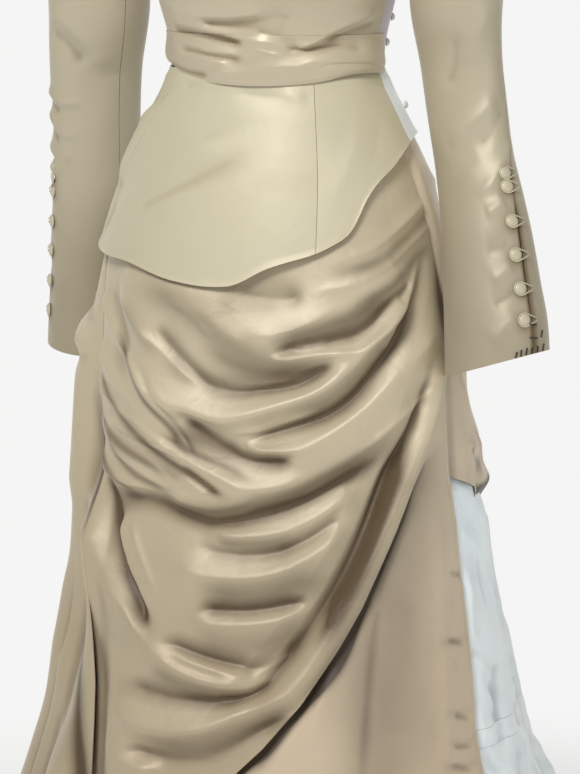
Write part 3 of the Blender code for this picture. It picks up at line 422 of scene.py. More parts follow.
@dataclass(frozen=True)
class Drawn:
    """Cloth drawn between creases: it runs straight from each crease to the next.

    Each crease holds its height over the form, in metres, and its points, in millimetres.
    """

    creases: tuple
    lowest: float
    highest: float
    seen: bool = True
    first_angle: float = -110.0
    last_angle: float = 100.0
    angle_step: float = 0.5
    height_step: float = 0.002
    reach: float = 0.10
    taper: float = 0.26
    fading: float = 2.0
    halvings: int = 3
    rounds: int = 90
    softenings: int = 5
    pitch: float = 0.0008
    fewest: int = 4

    def lines(self) -> list:
        """Lead every crease onto the form.

        Returns:
            Each crease's height over the form, its angles, its heights and how firmly it
            holds the cloth along it.
        """
        made = []
        for level, points in self.creases:
            line = lead_onto_form(points, self.seen)
            way = way_along(line)
            fine = np.linspace(0, way[-1], max(int(way[-1] / self.pitch), self.fewest))
            share = fine / way[-1]
            ends = smooth_step(share / self.taper) * smooth_step((1 - share) / self.taper)
            angle = np.interp(fine, way, line[:, 0])
            height = np.interp(fine, way, line[:, 1])
            made.append((level, angle, height, ends ** self.fading))
        return made

    @cached_property
    def grid(self) -> np.ndarray:
        """Find the cloth's heights over the form, on coarse grids first.

        Returns:
            A grid of heights: its rows run up and its columns round the form.
        """
        lines = self.lines()
        grid = None
        for halving in range(self.halvings, -1, -1):
            scale = 2 ** halving
            columns = int((self.last_angle - self.first_angle) / (self.angle_step * scale)) + 1
            rows = int((self.highest - self.lowest) / (self.height_step * scale)) + 1
            held = np.zeros((rows, columns))
            firm = np.zeros((rows, columns))
            for level, angle, height, strength in lines:
                column = np.rint((angle - self.first_angle) / (self.angle_step * scale)).astype(int)
                row = np.rint((height - self.lowest) / (self.height_step * scale)).astype(int)
                kept = (column >= 0) & (column < columns) & (row >= 0) & (row < rows)
                np.add.at(held, (row[kept], column[kept]), level * strength[kept])
                np.add.at(firm, (row[kept], column[kept]), strength[kept])
            target = held / np.maximum(firm, TINY)
            hold = np.minimum(firm, 1.0)
            if grid is None:
                grid = np.zeros((rows, columns))
            else:
                row = np.linspace(0, grid.shape[0] - 1, rows)
                column = np.linspace(0, grid.shape[1] - 1, columns)
                grid = read_grid(grid, row[:, None] + 0 * column, column + 0 * row[:, None])
            give = 4 + (self.height_step * scale / self.reach) ** 2
            for _ in range(self.rounds):
                grid = beside(grid) / give * (1 - hold) + target * hold
        for _ in range(self.softenings):
            grid = 0.5 * grid + 0.125 * beside(grid)
        return grid

    def relief(self, angle: np.ndarray, height: np.ndarray) -> np.ndarray:
        """Return the cloth's height over the form.

        Args:
            angle: angles round the form.
            height: heights above the floor.

        Returns:
            The cloth's height, in metres.
        """
        row = (height - self.lowest) / self.height_step
        column = (angle - self.first_angle) / self.angle_step
        return read_grid(self.grid, row, column)


def beside(grid: np.ndarray) -> np.ndarray:
    """Return the sum of each cell's four neighbours."""
    padded = np.pad(grid, 1, mode="edge")
    return padded[:-2, 1:-1] + padded[2:, 1:-1] + padded[1:-1, :-2] + padded[1:-1, 2:]


def read_grid(grid: np.ndarray, row: np.ndarray, column: np.ndarray) -> np.ndarray:
    """Read a grid between its cells.

    Args:
        grid: the grid.
        row: where to read, in rows; it may lie between two.
        column: where to read, in columns.

    Returns:
        The values there.
    """
    row = np.clip(row, 0, grid.shape[0] - LAST_CELL)
    column = np.clip(column, 0, grid.shape[1] - LAST_CELL)
    top = row.astype(int)
    left = column.astype(int)
    down = row - top
    across = column - left
    return ((grid[top, left] * (1 - across) + grid[top, left + 1] * across) * (1 - down)
            + (grid[top + 1, left] * (1 - across) + grid[top + 1, left + 1] * across) * down)


@dataclass(frozen=True)
class Pinches:
    """Fine creases laid on the cloth.

    Each row holds the depth, a ridge above nought, the width above the line, or to its right
    where it runs down, the width on the other side, and the line's points in millimetres, or
    in degrees and millimetres where the line isn't given as seen.
    """

    rows: tuple
    seen: bool = True
    sharpness: float = 1.5
    taper: float = 0.25
    reach: float = 3.2
    metres_per_degree: float = 0.0
    aside_spare: float = 1.3

    def relief(self, angle: np.ndarray, height: np.ndarray) -> np.ndarray:
        """Return how far the creases lift or sink the cloth.

        Args:
            angle: angles round the form.
            height: heights above the floor.

        Returns:
            The lift, in metres, or the strength of a shade.
        """
        total = np.zeros(np.shape(angle))
        per_degree = self.metres_per_degree or METRES_PER_DEGREE
        arc = FORM.arc(angle, height)
        if self.metres_per_degree:
            arc = np.full(total.shape, per_degree)
        for depth, above, below, points in self.rows:
            line = lead_onto_form(points, self.seen)
            margin = self.reach * max(above, below)
            aside = margin / per_degree * self.aside_spare
            near = ((angle > line[:, 0].min() - aside) & (angle < line[:, 0].max() + aside)
                    & (height > line[:, 1].min() - margin) & (height < line[:, 1].max() + margin))
            if not near.any():
                continue
            way = way_along(line, per_degree)
            nearest, along, side = nearest_on_line(angle[near], height[near], line, way / way[-1],
                                                   arc[near])
            width = np.where(side > 0, above, below)
            ends = smooth_step(along / self.taper) * smooth_step((1 - along) / self.taper)
            total[near] += depth * np.exp(-(nearest / width) ** self.sharpness) * ends
        return total


def set_inputs(node: bpy.types.ShaderNode, values: dict) -> None:
    """Set a node's inputs, named in values."""
    for name, value in values.items():
        node.inputs[name].default_value = value


def add_node(tree: bpy.types.NodeTree, kind: str,
             values: dict | None = None) -> bpy.types.ShaderNode:
    """Add a node to a material or a sky.

    Args:
        tree: its nodes.
        kind: the node's type, after ShaderNode.
        values: what the node's inputs hold.

    Returns:
        The new node.
    """
    node = tree.nodes.new("ShaderNode" + kind)
    set_inputs(node, values or {})
    return node


def add_mix(tree: bpy.types.NodeTree, first: tuple, second: tuple) -> bpy.types.ShaderNode:
    """Add a mix of two colours.

    Args:
        tree: a material's nodes.
        first: the colour at a factor of nought.
        second: the colour at a factor of one.

    Returns:
        The new node.
    """
    node = add_node(tree, "Mix")
    node.data_type = "RGBA"
    set_inputs(node, {"A": (*first, 1.0), "B": (*second, 1.0)})
    return node


@dataclass(frozen=True)
class Satin:
    """A satin finish with its own weave and sheen, and painted shade, a deeper colour, in its
    hollows.
    """

    name: str
    light: tuple
    # Colour of the painted shade in folds and hollows.
    shade_colour: tuple
    low: float = 0.86
    roughness: float = 0.50
    metallic: float = 0.12
    sheen: float = 0.20
    weave: float = 0.05
    crinkle: float = 0.16
    crinkle_size: float = 26.0
    crinkle_detail: float = 3.0
    crinkle_twist: float = 0.8
    crinkle_depth: float = 0.004
    sheen_roughness: float = 0.35
    sheen_tint: tuple = (1.0, 0.97, 0.90, 1.0)
    grain: float = 0.35
    mottle_size: float = 9.0
    mottle_detail: float = 4.0
    mottle_span: tuple = (0.3, 0.7)
    mottle_depth: float = 0.10
    smoother: float = 0.04
    rougher: float = 0.05
    fall_top: float = 0.78
    fall_foot: float = 0.40
    fall_tint: tuple = (1.0, 0.96, 0.93)
    threads: tuple = (2600.0, 700.0, 1.0)
    weave_depth: float = 0.0003

    def build(self) -> bpy.types.Material:
        """Make the finish.

        Returns:
            The material.
        """
        made = bpy.data.materials.new(self.name)
        made.use_nodes = True
        tree = made.node_tree
        links = tree.links
        shader = tree.nodes["Principled BSDF"]
        set_inputs(shader, {"Metallic": self.metallic, "Sheen Weight": self.sheen,
                            "Sheen Roughness": self.sheen_roughness, "Sheen Tint": self.sheen_tint,
                            "Anisotropic": self.grain})
        place = add_node(tree, "TexCoord")
        painted_shade = add_node(tree, "Attribute")
        painted_shade.attribute_name = "painted_shade"
        mottle = add_node(tree, "TexNoise", {"Scale": self.mottle_size,
                                             "Detail": self.mottle_detail})
        links.new(place.outputs["Object"], mottle.inputs["Vector"])
        spread = add_node(tree, "MapRange", {
            "From Min": self.mottle_span[0], "From Max": self.mottle_span[1],
            "To Min": -self.mottle_depth, "To Max": self.mottle_depth})
        links.new(mottle.outputs["Fac"], spread.inputs["Value"])
        total = add_node(tree, "Math")
        total.operation = "ADD"
        total.use_clamp = True
        links.new(painted_shade.outputs["Fac"], total.inputs[0])
        links.new(spread.outputs["Result"], total.inputs[1])
        # Painted shade: the colour is mixed towards the shade colour where the cloth lies in folds
        # and hollows.
        colour = add_mix(tree, self.light, self.shade_colour)
        links.new(total.outputs[0], colour.inputs["Factor"])
        links.new(self.deepen(tree, place, colour.outputs["Result"]), shader.inputs["Base Color"])
        rough = add_node(tree, "MapRange", {"To Min": self.roughness - self.smoother,
                                            "To Max": self.roughness + self.rougher})
        links.new(mottle.outputs["Fac"], rough.inputs["Value"])
        links.new(rough.outputs["Result"], shader.inputs["Roughness"])
        links.new(self.surface(tree, place), shader.inputs["Normal"])
        return made

    def deepen(self, tree: bpy.types.NodeTree, place: bpy.types.ShaderNode,
               colour: bpy.types.NodeSocket) -> bpy.types.NodeSocket:
        """Make the colour a little deeper and browner towards the hem.

        Args:
            tree: the material's nodes.
            place: the node of the surface's places.
            colour: the colour to deepen.

        Returns:
            The deepened colour.
        """
        parts = add_node(tree, "SeparateXYZ")
        tree.links.new(place.outputs["Object"], parts.inputs[0])
        fall = add_node(tree, "MapRange")
        fall.interpolation_type = "SMOOTHSTEP"
        set_inputs(fall, {"From Min": self.fall_top - SHOULDER_HEIGHT,
                          "From Max": self.fall_foot - SHOULDER_HEIGHT})
        tree.links.new(parts.outputs["Z"], fall.inputs["Value"])
        tint = add_mix(tree, self.light, tuple(self.low * share for share in self.fall_tint))
        tint.blend_type = "MULTIPLY"
        tree.links.new(fall.outputs["Result"], tint.inputs["Factor"])
        tree.links.new(colour, tint.inputs["A"])
        return tint.outputs["Result"]

    def surface(self, tree: bpy.types.NodeTree,
                place: bpy.types.ShaderNode) -> bpy.types.NodeSocket:
        """Lay the weave over soft crinkles.

        Args:
            tree: the material's nodes.
            place: the node of the surface's places.

        Returns:
            The surface's normal.
        """
        soft = add_node(tree, "TexNoise", {
            "Scale": self.crinkle_size, "Detail": self.crinkle_detail,
            "Distortion": self.crinkle_twist})
        tree.links.new(place.outputs["Object"], soft.inputs["Vector"])
        crease = add_node(tree, "Bump", {"Strength": self.crinkle, "Distance": self.crinkle_depth})
        tree.links.new(soft.outputs["Fac"], crease.inputs["Height"])
        grain = add_node(tree, "Mapping", {"Scale": self.threads})
        tree.links.new(place.outputs["UV"], grain.inputs["Vector"])
        threads = add_node(tree, "TexNoise", {"Scale": 1.0, "Detail": 1.0})
        tree.links.new(grain.outputs["Vector"], threads.inputs["Vector"])
        weave = add_node(tree, "Bump", {"Strength": self.weave, "Distance": self.weave_depth})
        tree.links.new(threads.outputs["Fac"], weave.inputs["Height"])
        tree.links.new(crease.outputs["Normal"], weave.inputs["Normal"])
        return weave.outputs["Normal"]


GOLD = Satin("champagne gold satin", (0.560, 0.510, 0.362), (0.330, 0.240, 0.130))
DRAPE_GOLD = Satin("draped gold satin", (0.540, 0.465, 0.325), (0.115, 0.078, 0.040),
                   roughness=0.48, metallic=0.15, crinkle=0.26, crinkle_size=34.0)
SLEEVE_GOLD = Satin("sleeve gold satin", (0.475, 0.420, 0.300), (0.200, 0.145, 0.080),
                    roughness=0.48, metallic=0.16)
WAIST_GOLD = Satin("waist gold satin", (0.520, 0.455, 0.325), (0.230, 0.165, 0.090),
                   roughness=0.42, metallic=0.20)
PANEL_GOLD = Satin("flat gold satin", (0.660, 0.560, 0.410), (0.070, 0.050, 0.032), low=0.90,
                   crinkle=0.14)
THREAD = Satin("brown thread", (0.026, 0.020, 0.014), (0.020, 0.015, 0.010), roughness=0.80,
               metallic=0.0, sheen=0.0)
PETTICOAT = Satin("pale blue petticoat satin", (0.850, 0.950, 0.985), (0.330, 0.400, 0.480),
                  low=1.0, metallic=0.12, crinkle=0.70, crinkle_size=30.0)
PALE = Satin("pale blue-white satin", (0.760, 0.800, 0.790), (0.400, 0.420, 0.430), low=1.0,
             metallic=0.08, crinkle=0.35, crinkle_size=34.0)
LILAC = Satin("pale lilac satin", (0.500, 0.450, 0.480), (0.330, 0.280, 0.310), metallic=0.15)


class MaterialBox:
    """Makes each finish once."""

    def __init__(self) -> None:
        """Start with no material made."""
        self.made: dict = {}

    def get(self, finish: Satin) -> bpy.types.Material:
        """Return the material of a finish.

        Args:
            finish: the satin or thread.

        Returns:
            Its material, made at the first call.
        """
        if finish.name not in self.made:
            self.made[finish.name] = finish.build()
        return self.made[finish.name]


MATERIALS = MaterialBox()


@dataclass
class Cloth:
    """One layer of cloth with a turned rim, over the solid of its name.

    Spots are painted shadows, each a point, its reach and its strength.
    """

    name: str
    columns: int
    rows: int
    finish: Satin = GOLD
    tone: Tone = Tone.GOLD
    held: Hold = Hold.HUNG
    flat: tuple = (0.5, 0.5)
    area: float = 0.25
    rests_on: tuple = ()
    thickness: float = 0.0012
    hollow_depth: float = 0.0035
    hollow_reach: float = 0.012
    shades: Pinches = Pinches(())
    shaded: np.ndarray | float = 0.0
    spots: tuple = ()
    hollow_rounds: int = 2

    def place(self, across: np.ndarray, down: np.ndarray) -> np.ndarray:
        """Return the points of the outer face at the shares across and down."""
        raise NotImplementedError

    def deepen(self, angle: np.ndarray, height: np.ndarray) -> None:
        """Keep the painted shade that the folds' shade table gives at angles and heights."""
        self.shaded = self.shades.relief(angle, height)

    def points(self) -> np.ndarray:
        """Return the outer face's grid of points."""
        down, across = np.meshgrid(np.linspace(0, 1, self.rows + 1),
                                   np.linspace(0, 1, self.columns + 1), indexing="ij")
        return self.place(across, down)

    def normals(self, points: np.ndarray) -> np.ndarray:
        """Return the directions that a grid of points faces.

        Args:
            points: the grid, its rows running down and its columns right.

        Returns:
            Directions one metre long.
        """
        right = np.gradient(points, axis=1)
        rise = -np.gradient(points, axis=0)
        away = np.cross(right, rise)
        return away / np.maximum(np.linalg.norm(away, axis=-1, keepdims=True), TINY)

    def hollows(self, points: np.ndarray, facing: np.ndarray) -> np.ndarray:
        """Return how deep in a fold each point lies, from 0 to 1, for its painted shade.

        Args:
            points: the grid of points.
            facing: the directions that they face.

        Returns:
            The shares, one for each point.
        """
        step = np.linalg.norm(np.diff(points, axis=0), axis=-1).mean()
        aside = np.linalg.norm(np.diff(points, axis=1), axis=-1).mean()
        mean = points.copy()
        for axis, size in ((0, step), (1, aside)):
            cells = max(int(self.hollow_reach / size), 1)
            for _ in range(self.hollow_rounds):
                pad = [(0, 0)] * 3
                pad[axis] = (cells + 1, cells)
                total = np.cumsum(np.pad(mean, pad, mode="edge"), axis=axis)
                count = mean.shape[axis]
                late = np.take(total, np.arange(2 * cells + 1, 2 * cells + 1 + count), axis=axis)
                early = np.take(total, np.arange(0, count), axis=axis)
                mean = (late - early) / (2 * cells + 1)
        depth = ((mean - points) * facing).sum(-1)
        return np.clip(depth / self.hollow_depth, 0.0, 1.0)

    def build(self) -> bpy.types.Object:
        """Returns:
            The new piece.
        """
        points = self.points()
        facing = self.normals(points)
        inner = points - facing * self.thickness
        # Painted shade: darker colour in the cloth's hollows, along its shade tables and round its
        # shadow spots.
        painted_shade = self.hollows(points, facing) + self.shaded
        # Painted shadows round each spot.
        for middle, reach, strength in self.spots:
            away_from_spot = np.linalg.norm(points - np.array(middle), axis=-1)
            painted_shade = painted_shade + strength * np.exp(-(away_from_spot / reach) ** 2)
        painted_shade = np.clip(painted_shade, 0.0, 1.0)
        shell = bmesh.new()
        bmesh.ops.create_grid(shell, x_segments=self.columns, y_segments=self.rows, size=0.5)
        edges = [edge for edge in shell.edges if edge.is_boundary]
        turned = bmesh.ops.extrude_edge_only(shell, edges=edges)["geom"]
        rim = {item for item in turned if isinstance(item, bmesh.types.BMVert)}
        is_rim = np.array([vertex in rim for vertex in shell.verts])
        flat = np.array([vertex.co[:2] for vertex in shell.verts])
        column = np.rint((flat[:, 0] + 0.5) * self.columns).astype(int)
        row = np.rint((0.5 - flat[:, 1]) * self.rows).astype(int)
        placed = np.where(is_rim[:, None], inner[row, column], points[row, column])
        for vertex, point in zip(shell.verts, placed):
            vertex.co = point
        bmesh.ops.recalc_face_normals(shell, faces=shell.faces)
        mesh = bpy.data.meshes.new(self.name + "_cloth")
        shell.to_mesh(mesh)
        shell.free()
        self.lay_out(mesh, points, row, column, painted_shade)
        mesh.shade_smooth()
        mesh.set_sharp_from_angle(angle=math.radians(SHARP_ANGLE))
        piece = bpy.data.objects.new(self.name + "_cloth", mesh)
        bpy.context.scene.collection.objects.link(piece)
        mesh.materials.append(MATERIALS.get(self.finish))
        self.declare(piece)
        return piece

    def lay_out(self, mesh: bpy.types.Mesh, points: np.ndarray, row: np.ndarray, column: np.ndarray,
                painted_shade: np.ndarray) -> None:
        """Give the mesh a map in metres and its hollow values.

        Args:
            mesh: the cloth's mesh.
            points: the grid of points.
            row: each vertex's row in the grid.
            column: each vertex's column.
            painted_shade: the grid of painted shade values.
        """
        across = np.linalg.norm(np.diff(points[self.rows // 2], axis=0), axis=-1)
        down = np.linalg.norm(np.diff(points[:, self.columns // 2], axis=0), axis=-1)
        across = np.concatenate([[0], np.cumsum(across)])
        down = np.concatenate([[0], np.cumsum(down)])
        per_vertex = np.stack([across[column], -down[row]], axis=-1)
        corner = np.zeros(len(mesh.loops), np.int32)
        mesh.loops.foreach_get("vertex_index", corner)
        layer = mesh.uv_layers.new(name="UVMap")
        layer.uv.foreach_set("vector", per_vertex[corner].astype(np.float32).ravel())
        # The painted shade goes to the mesh as an attribute that the satin reads.
        values = mesh.attributes.new("painted_shade", "FLOAT", "POINT")
        values.data.foreach_set("value", painted_shade[row, column].astype(np.float32))

    def declare(self, piece: bpy.types.Object) -> None:
        """Hang the piece on the root, hide its solid and log its grid.

        Args:
            piece: the cloth's object.
        """
        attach(piece, "root")
        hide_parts(self.name)
        log.info("%s: %d x %d", self.name, self.columns, self.rows)


BASQUE_EDGE = (
    (-180, 0.930), (-120, 0.895), (-69, 0.857), (-50, 0.850), (-35, 0.848), (-13, 0.834),
    (0, 0.831), (6, 0.833), (16, 0.850), (36, 0.873), (44, 0.888), (52, 0.920), (70, 0.955),
    (88, 0.976), (120, 0.980), (180, 0.930),
)
BASQUE_FOLDS = Folds((
    (-70, 1.010, -66, 0.970, -64, 0.920, 0.040, 0.040, 0.008),
    (-66, 0.870, -62, 0.890, -58, 0.905, 0.014, 0.014, -0.003),
    (-38, 0.895, -20, 0.925, 12, 0.965, 0.010, 0.010, -0.002),
))


# Soft creases of the basque, as seen: depth, width above, width below, places
BASQUE_PINCHES = Pinches((
    (-0.0015, 0.010, 0.008, ((-100, 1022), (-85, 1027), (-72, 1031))),
    (-0.0016, 0.008, 0.010, ((-50, 1022), (-15, 1014), (16, 1012))),
    (0.0016, 0.008, 0.008, ((4, 1019), (18, 1015), (34, 1012))),
    (-0.0016, 0.006, 0.008, ((85, 1036), (100, 1030), (116, 1021))),
    (-0.0018, 0.012, 0.010, ((-125, 1000), (-150, 960), (-166, 903), (-186, 854))),
    (-0.0014, 0.010, 0.014, ((-158, 889), (-100, 915), (-34, 950), (10, 965))),
    (0.0014, 0.012, 0.012, ((-150, 930), (-80, 960), (-10, 985))),
    (0.0012, 0.010, 0.010, ((50, 880), (75, 940), (90, 1000))),
    (-0.0012, 0.008, 0.010, ((95, 930), (104, 960), (106, 1000))),
), taper=0.4)


@dataclass
class BasquePanel(Cloth):
    """A panel of the basque, between two seams: each an angle at the waist and at the edge."""

    start: tuple = (0.0, 0.0)
    end: tuple = (0.0, 0.0)
    held: Hold = Hold.STRETCHED
    waist_out: float = 0.0030
    waist_run: float = 0.012
    top_out: float = 0.0058
    edge_out: float = 0.0092
    ease: float = 1.35
    fold_top: float = 1.032
    fold_run: float = 0.03
    bead: float = 0.0012
    bead_start: float = 0.975

    def place(self, across: np.ndarray, down: np.ndarray) -> np.ndarray:
        """Return the panel's outer face.

        Args:
            across: shares of the way across, from 0 to 1.
            down: shares of the way down.

        Returns:
            Points, their axes last.
        """
        first = self.start[0] + (self.start[1] - self.start[0]) * down
        last = self.end[0] + (self.end[1] - self.end[0]) * down
        foot_angle = self.start[1] + (self.end[1] - self.start[1]) * across
        foot = curve_through(foot_angle, BASQUE_EDGE)[..., 0]
        sunk = down ** self.ease
        height = (WAIST - 0.5 * SEAM_GAP) * (1 - sunk) + foot * sunk
        spare = FORM.seam_spare(height)
        angle = (first + spare) * (1 - across) + (last - spare) * across
        out = self.top_out + (self.edge_out - self.top_out) * down ** 2
        seated = smooth_step((height - WAIST) / self.waist_run + 1)
        out = out - (self.top_out - self.waist_out) * seated
        below_sash = smooth_step((self.fold_top - height) / self.fold_run)
        out = out + BASQUE_FOLDS.relief(angle, height) * below_sash
        out = out + BASQUE_PINCHES.relief(angle, height)
        out = out + self.bead * smooth_step((down - self.bead_start) / (1 - self.bead_start))
        return FORM.place(angle, height, out)


def build_basque() -> None:
    """Make the panels of the basque."""
    right_princess = (-45.0, -60.0)
    left_princess = (40.0, 32.0)
    pale = {"finish": PALE, "tone": Tone.PALE}
    for panel in (
        BasquePanel("basque_front_centre", 120, 90, start=right_princess, end=left_princess,
                    flat=(0.33, 0.235), area=0.0535),
        BasquePanel("basque_front_left", 60, 60, start=left_princess, end=(88.0, 88.0),
                    flat=(0.185, 0.195), area=0.015),
        BasquePanel("basque_front_right", 50, 70, start=(-88.0, -88.0), end=right_princess,
                    flat=(0.085, 0.22), area=0.0165),
        BasquePanel("basque_side_left", 36, 30, start=(88.0, 88.0), end=(128.0, 128.0),
                    flat=(0.095, 0.088), area=0.0066, **pale),
        BasquePanel("basque_back_left", 50, 40, start=(128.0, 128.0), end=(180.0, 180.0),
                    flat=(0.155, 0.135), area=0.014, **pale),
        BasquePanel("basque_side_right", 36, 50, start=(-128.0, -128.0), end=(-88.0, -88.0),
                    flat=(0.128, 0.196), area=0.0175, **pale),
        BasquePanel("basque_back_right", 50, 50, start=(-180.0, -180.0), end=(-128.0, -128.0),
                    flat=(0.165, 0.168), area=0.0202, **pale),
    ):
        panel.build()


DRAPE_EDGE = (
    (84, 1.020), (84, 0.800), (80, 0.735), (71, 0.668), (63, 0.620), (56, 0.570), (46, 0.500),
    (39, 0.460), (30, 0.410), (20, 0.360), (12, 0.325), (3, 0.290), (-6, 0.262),
)
DRAPE_SIDE = (
    (0.010, -24), (0.300, -26), (0.400, -30), (0.500, -37), (0.600, -42), (0.700, -50),
    (0.850, -62), (1.030, -62),
)
BACK_MEETING = 184.0
MEETING_FLAT = 12.0
RIGHT_FLUTES = (
    (-36, -30, 7, 0.012),
    (-50, -46, 6, -0.014),
    (-65, -63, 7, 0.004),
    (-80, -79, 7, -0.016),
    (-96, -96, 8, 0.014),
    (-113, -113, 7, -0.015),
    (-129, -129, 8, 0.014),
    (-146, -146, 7, -0.014),
    (-163, -163, 8, 0.013),
)
UNDERSKIRT_FLUTES = (
    (84, 82, 6, -0.006),
    (103, 102, 7, 0.006),
    (118, 118, 6, -0.010),
    (130, 130, 6, 0.008),
    (140, 140, 8, 0.012),
    (156, 156, 7, -0.012),
    (172, 172, 8, 0.011),
)
HIP_FOLDS = Folds((
    (-98, 0.812, -76, 0.770, -58, 0.742, 0.014, 0.014, 0.015),
    (-66, 0.755, -65, 0.660, -64, 0.560, 0.030, 0.030, 0.007),
))
SHARED_START = -100.0
SHARED_RUN = 26.0
PANEL_EDGE = (
    (0.010, 77), (0.270, 79), (0.318, 81), (0.380, 84), (0.440, 86), (0.503, 87), (0.568, 85),
    (0.630, 81), (0.708, 80), (0.800, 82),
)
UNDER_BASQUE_OUT = 0.002
PRESS_RUN = 0.024
KNEE = 0.45
FLUTE_RUN = 0.55


def flute_relief(angle: np.ndarray, height: np.ndarray, table: tuple) -> np.ndarray:
    """Return how far hanging folds lift or sink the cloth; they grow towards the hem.

    Args:
        angle: angles round the form.
        height: heights above the floor.
        table: rows of the angle at the knee, the angle at the hem, the width and the depth.

    Returns:
        The lift, in metres.
    """
    relief = np.zeros(np.shape(angle))
    strength = smooth_step((SKIRT_TOP - height) / FLUTE_RUN)
    way = np.clip((KNEE - height) / (KNEE - HEM), -1, 1)
    for knee_angle, hem_angle, half_width, depth in table:
        middle = knee_angle + (hem_angle - knee_angle) * way
        relief = relief + depth * np.exp(-((angle - middle) / half_width) ** 2)
    from_meeting = np.minimum(np.abs(angle - BACK_MEETING), np.abs(angle + 360 - BACK_MEETING))
    return relief * strength * smooth_step(from_meeting / MEETING_FLAT)


def under_basque(angle: np.ndarray, height: np.ndarray, out: np.ndarray) -> np.ndarray:
    """Press folds flat where the basque lies over the skirt.

    Args:
        angle: angles round the form.
        height: heights above the floor.
        out: how far the cloth stands out there.

    Returns:
        How far it stands out once pressed.
    """
    edge = straight_through(angle, BASQUE_EDGE)
    covered = smooth_step((height - edge + 0.5 * PRESS_RUN) / PRESS_RUN)
    return out * (1 - covered) + np.minimum(out, UNDER_BASQUE_OUT) * covered


def right_back_out(angle: np.ndarray, height: np.ndarray) -> np.ndarray:
    """Return how far the right back panel stands out from the form.

    Args:
        angle: angles round the form.
        height: heights above the floor.

    Returns:
        The distances, in metres.
    """
    out = flute_relief(angle, height, RIGHT_FLUTES) + HIP_FOLDS.relief(angle, height)
    shared = smooth_step((angle - SHARED_START) / SHARED_RUN)
    out = out + DRAPE_CREASES.relief(angle, height) * shared
    return under_basque(angle, height, out)


# Creases of the apron drape, as seen: height over the form, then places across and up
DRAPE_CREASES = Drawn((
    (-0.007, ((-184, 804), (-172, 779), (-161, 724))),
    (0.006, ((-168, 804), (-148, 770), (-137, 740))),
    (0.008, ((-146, 805), (-111, 799), (-76, 778), (-57, 759), (-25, 741))),
    (-0.006, (
        (-135, 775), (-118, 748), (-90, 717), (-77, 704), (-63, 698), (-37, 695), (-3, 697),
        (28, 703), (57, 721), (75, 733))),
    (0.012, (
        (-157, 719), (-135, 698), (-111, 682), (-84, 671), (-57, 665), (-30, 671), (4, 682),
        (45, 698), (80, 725), (99, 746), (125, 772), (152, 816))),
    (-0.010, (
        (-52, 642), (-22, 647), (18, 657), (58, 668), (85, 687), (106, 713), (124, 740), (141, 777),
        (157, 810), (165, 847))),
    (0.010, (
        (-57, 638), (-41, 632), (-13, 629), (18, 631), (58, 654), (99, 686), (139, 727),
        (174, 762))),
    (-0.008, ((-108, 673), (-83, 656), (-57, 637), (-29, 624), (-2, 621), (25, 623))),
    (0.010, (
        (-63, 601), (-30, 589), (15, 595), (46, 610), (80, 628), (99, 642), (134, 665), (152, 682),
        (174, 709))),
    (0.007, ((-116, 585), (-94, 575), (-72, 571), (-40, 576), (-24, 583))),
    (-0.011, (
        (-186, 591), (-137, 578), (-89, 559), (-72, 552), (-40, 554), (3, 565), (36, 578),
        (57, 589), (79, 602), (100, 616), (127, 632))),
    (0.003, ((-78, 542), (-40, 538), (3, 541), (36, 554), (57, 567), (85, 590))),
    (-0.006, ((-94, 529), (-62, 522), (-29, 519), (3, 522), (25, 532), (52, 548), (80, 573))),
    (0.010, (
        (-110, 513), (-89, 500), (-62, 494), (-35, 494), (-8, 498), (25, 511), (52, 529),
        (76, 552))),
    (-0.007, ((-89, 461), (-40, 457), (3, 462), (38, 472))),
    (0.006, ((-94, 451), (-72, 444), (-40, 444), (-2, 448), (25, 456), (44, 465))),
    (-0.006, ((-126, 429), (-105, 416), (-67, 402), (-29, 394), (-16, 393), (9, 405), (30, 427))),
    (0.006, ((-132, 424), (-99, 405), (-67, 394), (-35, 388), (-23, 386))),
    (0.003, ((-121, 414), (-94, 399), (-56, 386))),
    (0.010, (
        (-210, 600), (-202, 559), (-192, 533), (-183, 505), (-176, 481), (-162, 464), (-149, 442),
        (-137, 421), (-116, 403), (-89, 388), (-56, 378), (-35, 375), (-16, 379), (14, 398))),
    (-0.007, ((-164, 384), (-137, 371), (-94, 362), (-56, 360), (-29, 366), (9, 384))),
    (0.011, (
        (-178, 362), (-162, 343), (-143, 333), (-116, 327), (-78, 332), (-51, 343), (-22, 357),
        (9, 370), (32, 380))),
    (-0.010, ((-170, 313), (-126, 300), (-83, 300), (-40, 317), (-2, 338), (25, 357))),
    (0.006, ((41, 362), (19, 338), (-5, 310), (-27, 283))),
    (0.006, ((-184, 324), (-170, 297), (-150, 289), (-132, 289))),
    (-0.006, ((-150, 262), (-100, 255), (-50, 268))),
    (0.003, ((-186, 640), (-186, 620), (-170, 601), (-140, 592))),
    (-0.014, (
        (-197, 661), (-193, 608), (-180, 576), (-172, 535), (-160, 497), (-151, 472), (-144, 448),
        (-132, 432))),
    (0.005, ((-172, 562), (-160, 512), (-146, 480), (-132, 450))),
    (-0.004, ((-45, 803), (-1, 794), (30, 798))),
    (0.010, ((-36, 762), (-9, 754), (31, 765), (72, 786), (112, 808), (139, 821))),
    (-0.004, ((-19, 736), (18, 743), (58, 749), (98, 763), (120, 789), (152, 821))),
    (0.006, ((-14, 730), (18, 730), (58, 738), (87, 741))),
    (-0.011, ((-202, 502), (-207, 470), (-211, 427), (-212, 362), (-213, 282), (-214, 220))),
    (0.007, ((-222, 520), (-228, 470), (-232, 427), (-237, 362), (-243, 282), (-247, 215))),
    (0.005, ((-203, 735), (-206, 686), (-208, 632), (-208, 595))),
), lowest=0.20, highest=1.04, softenings=8)
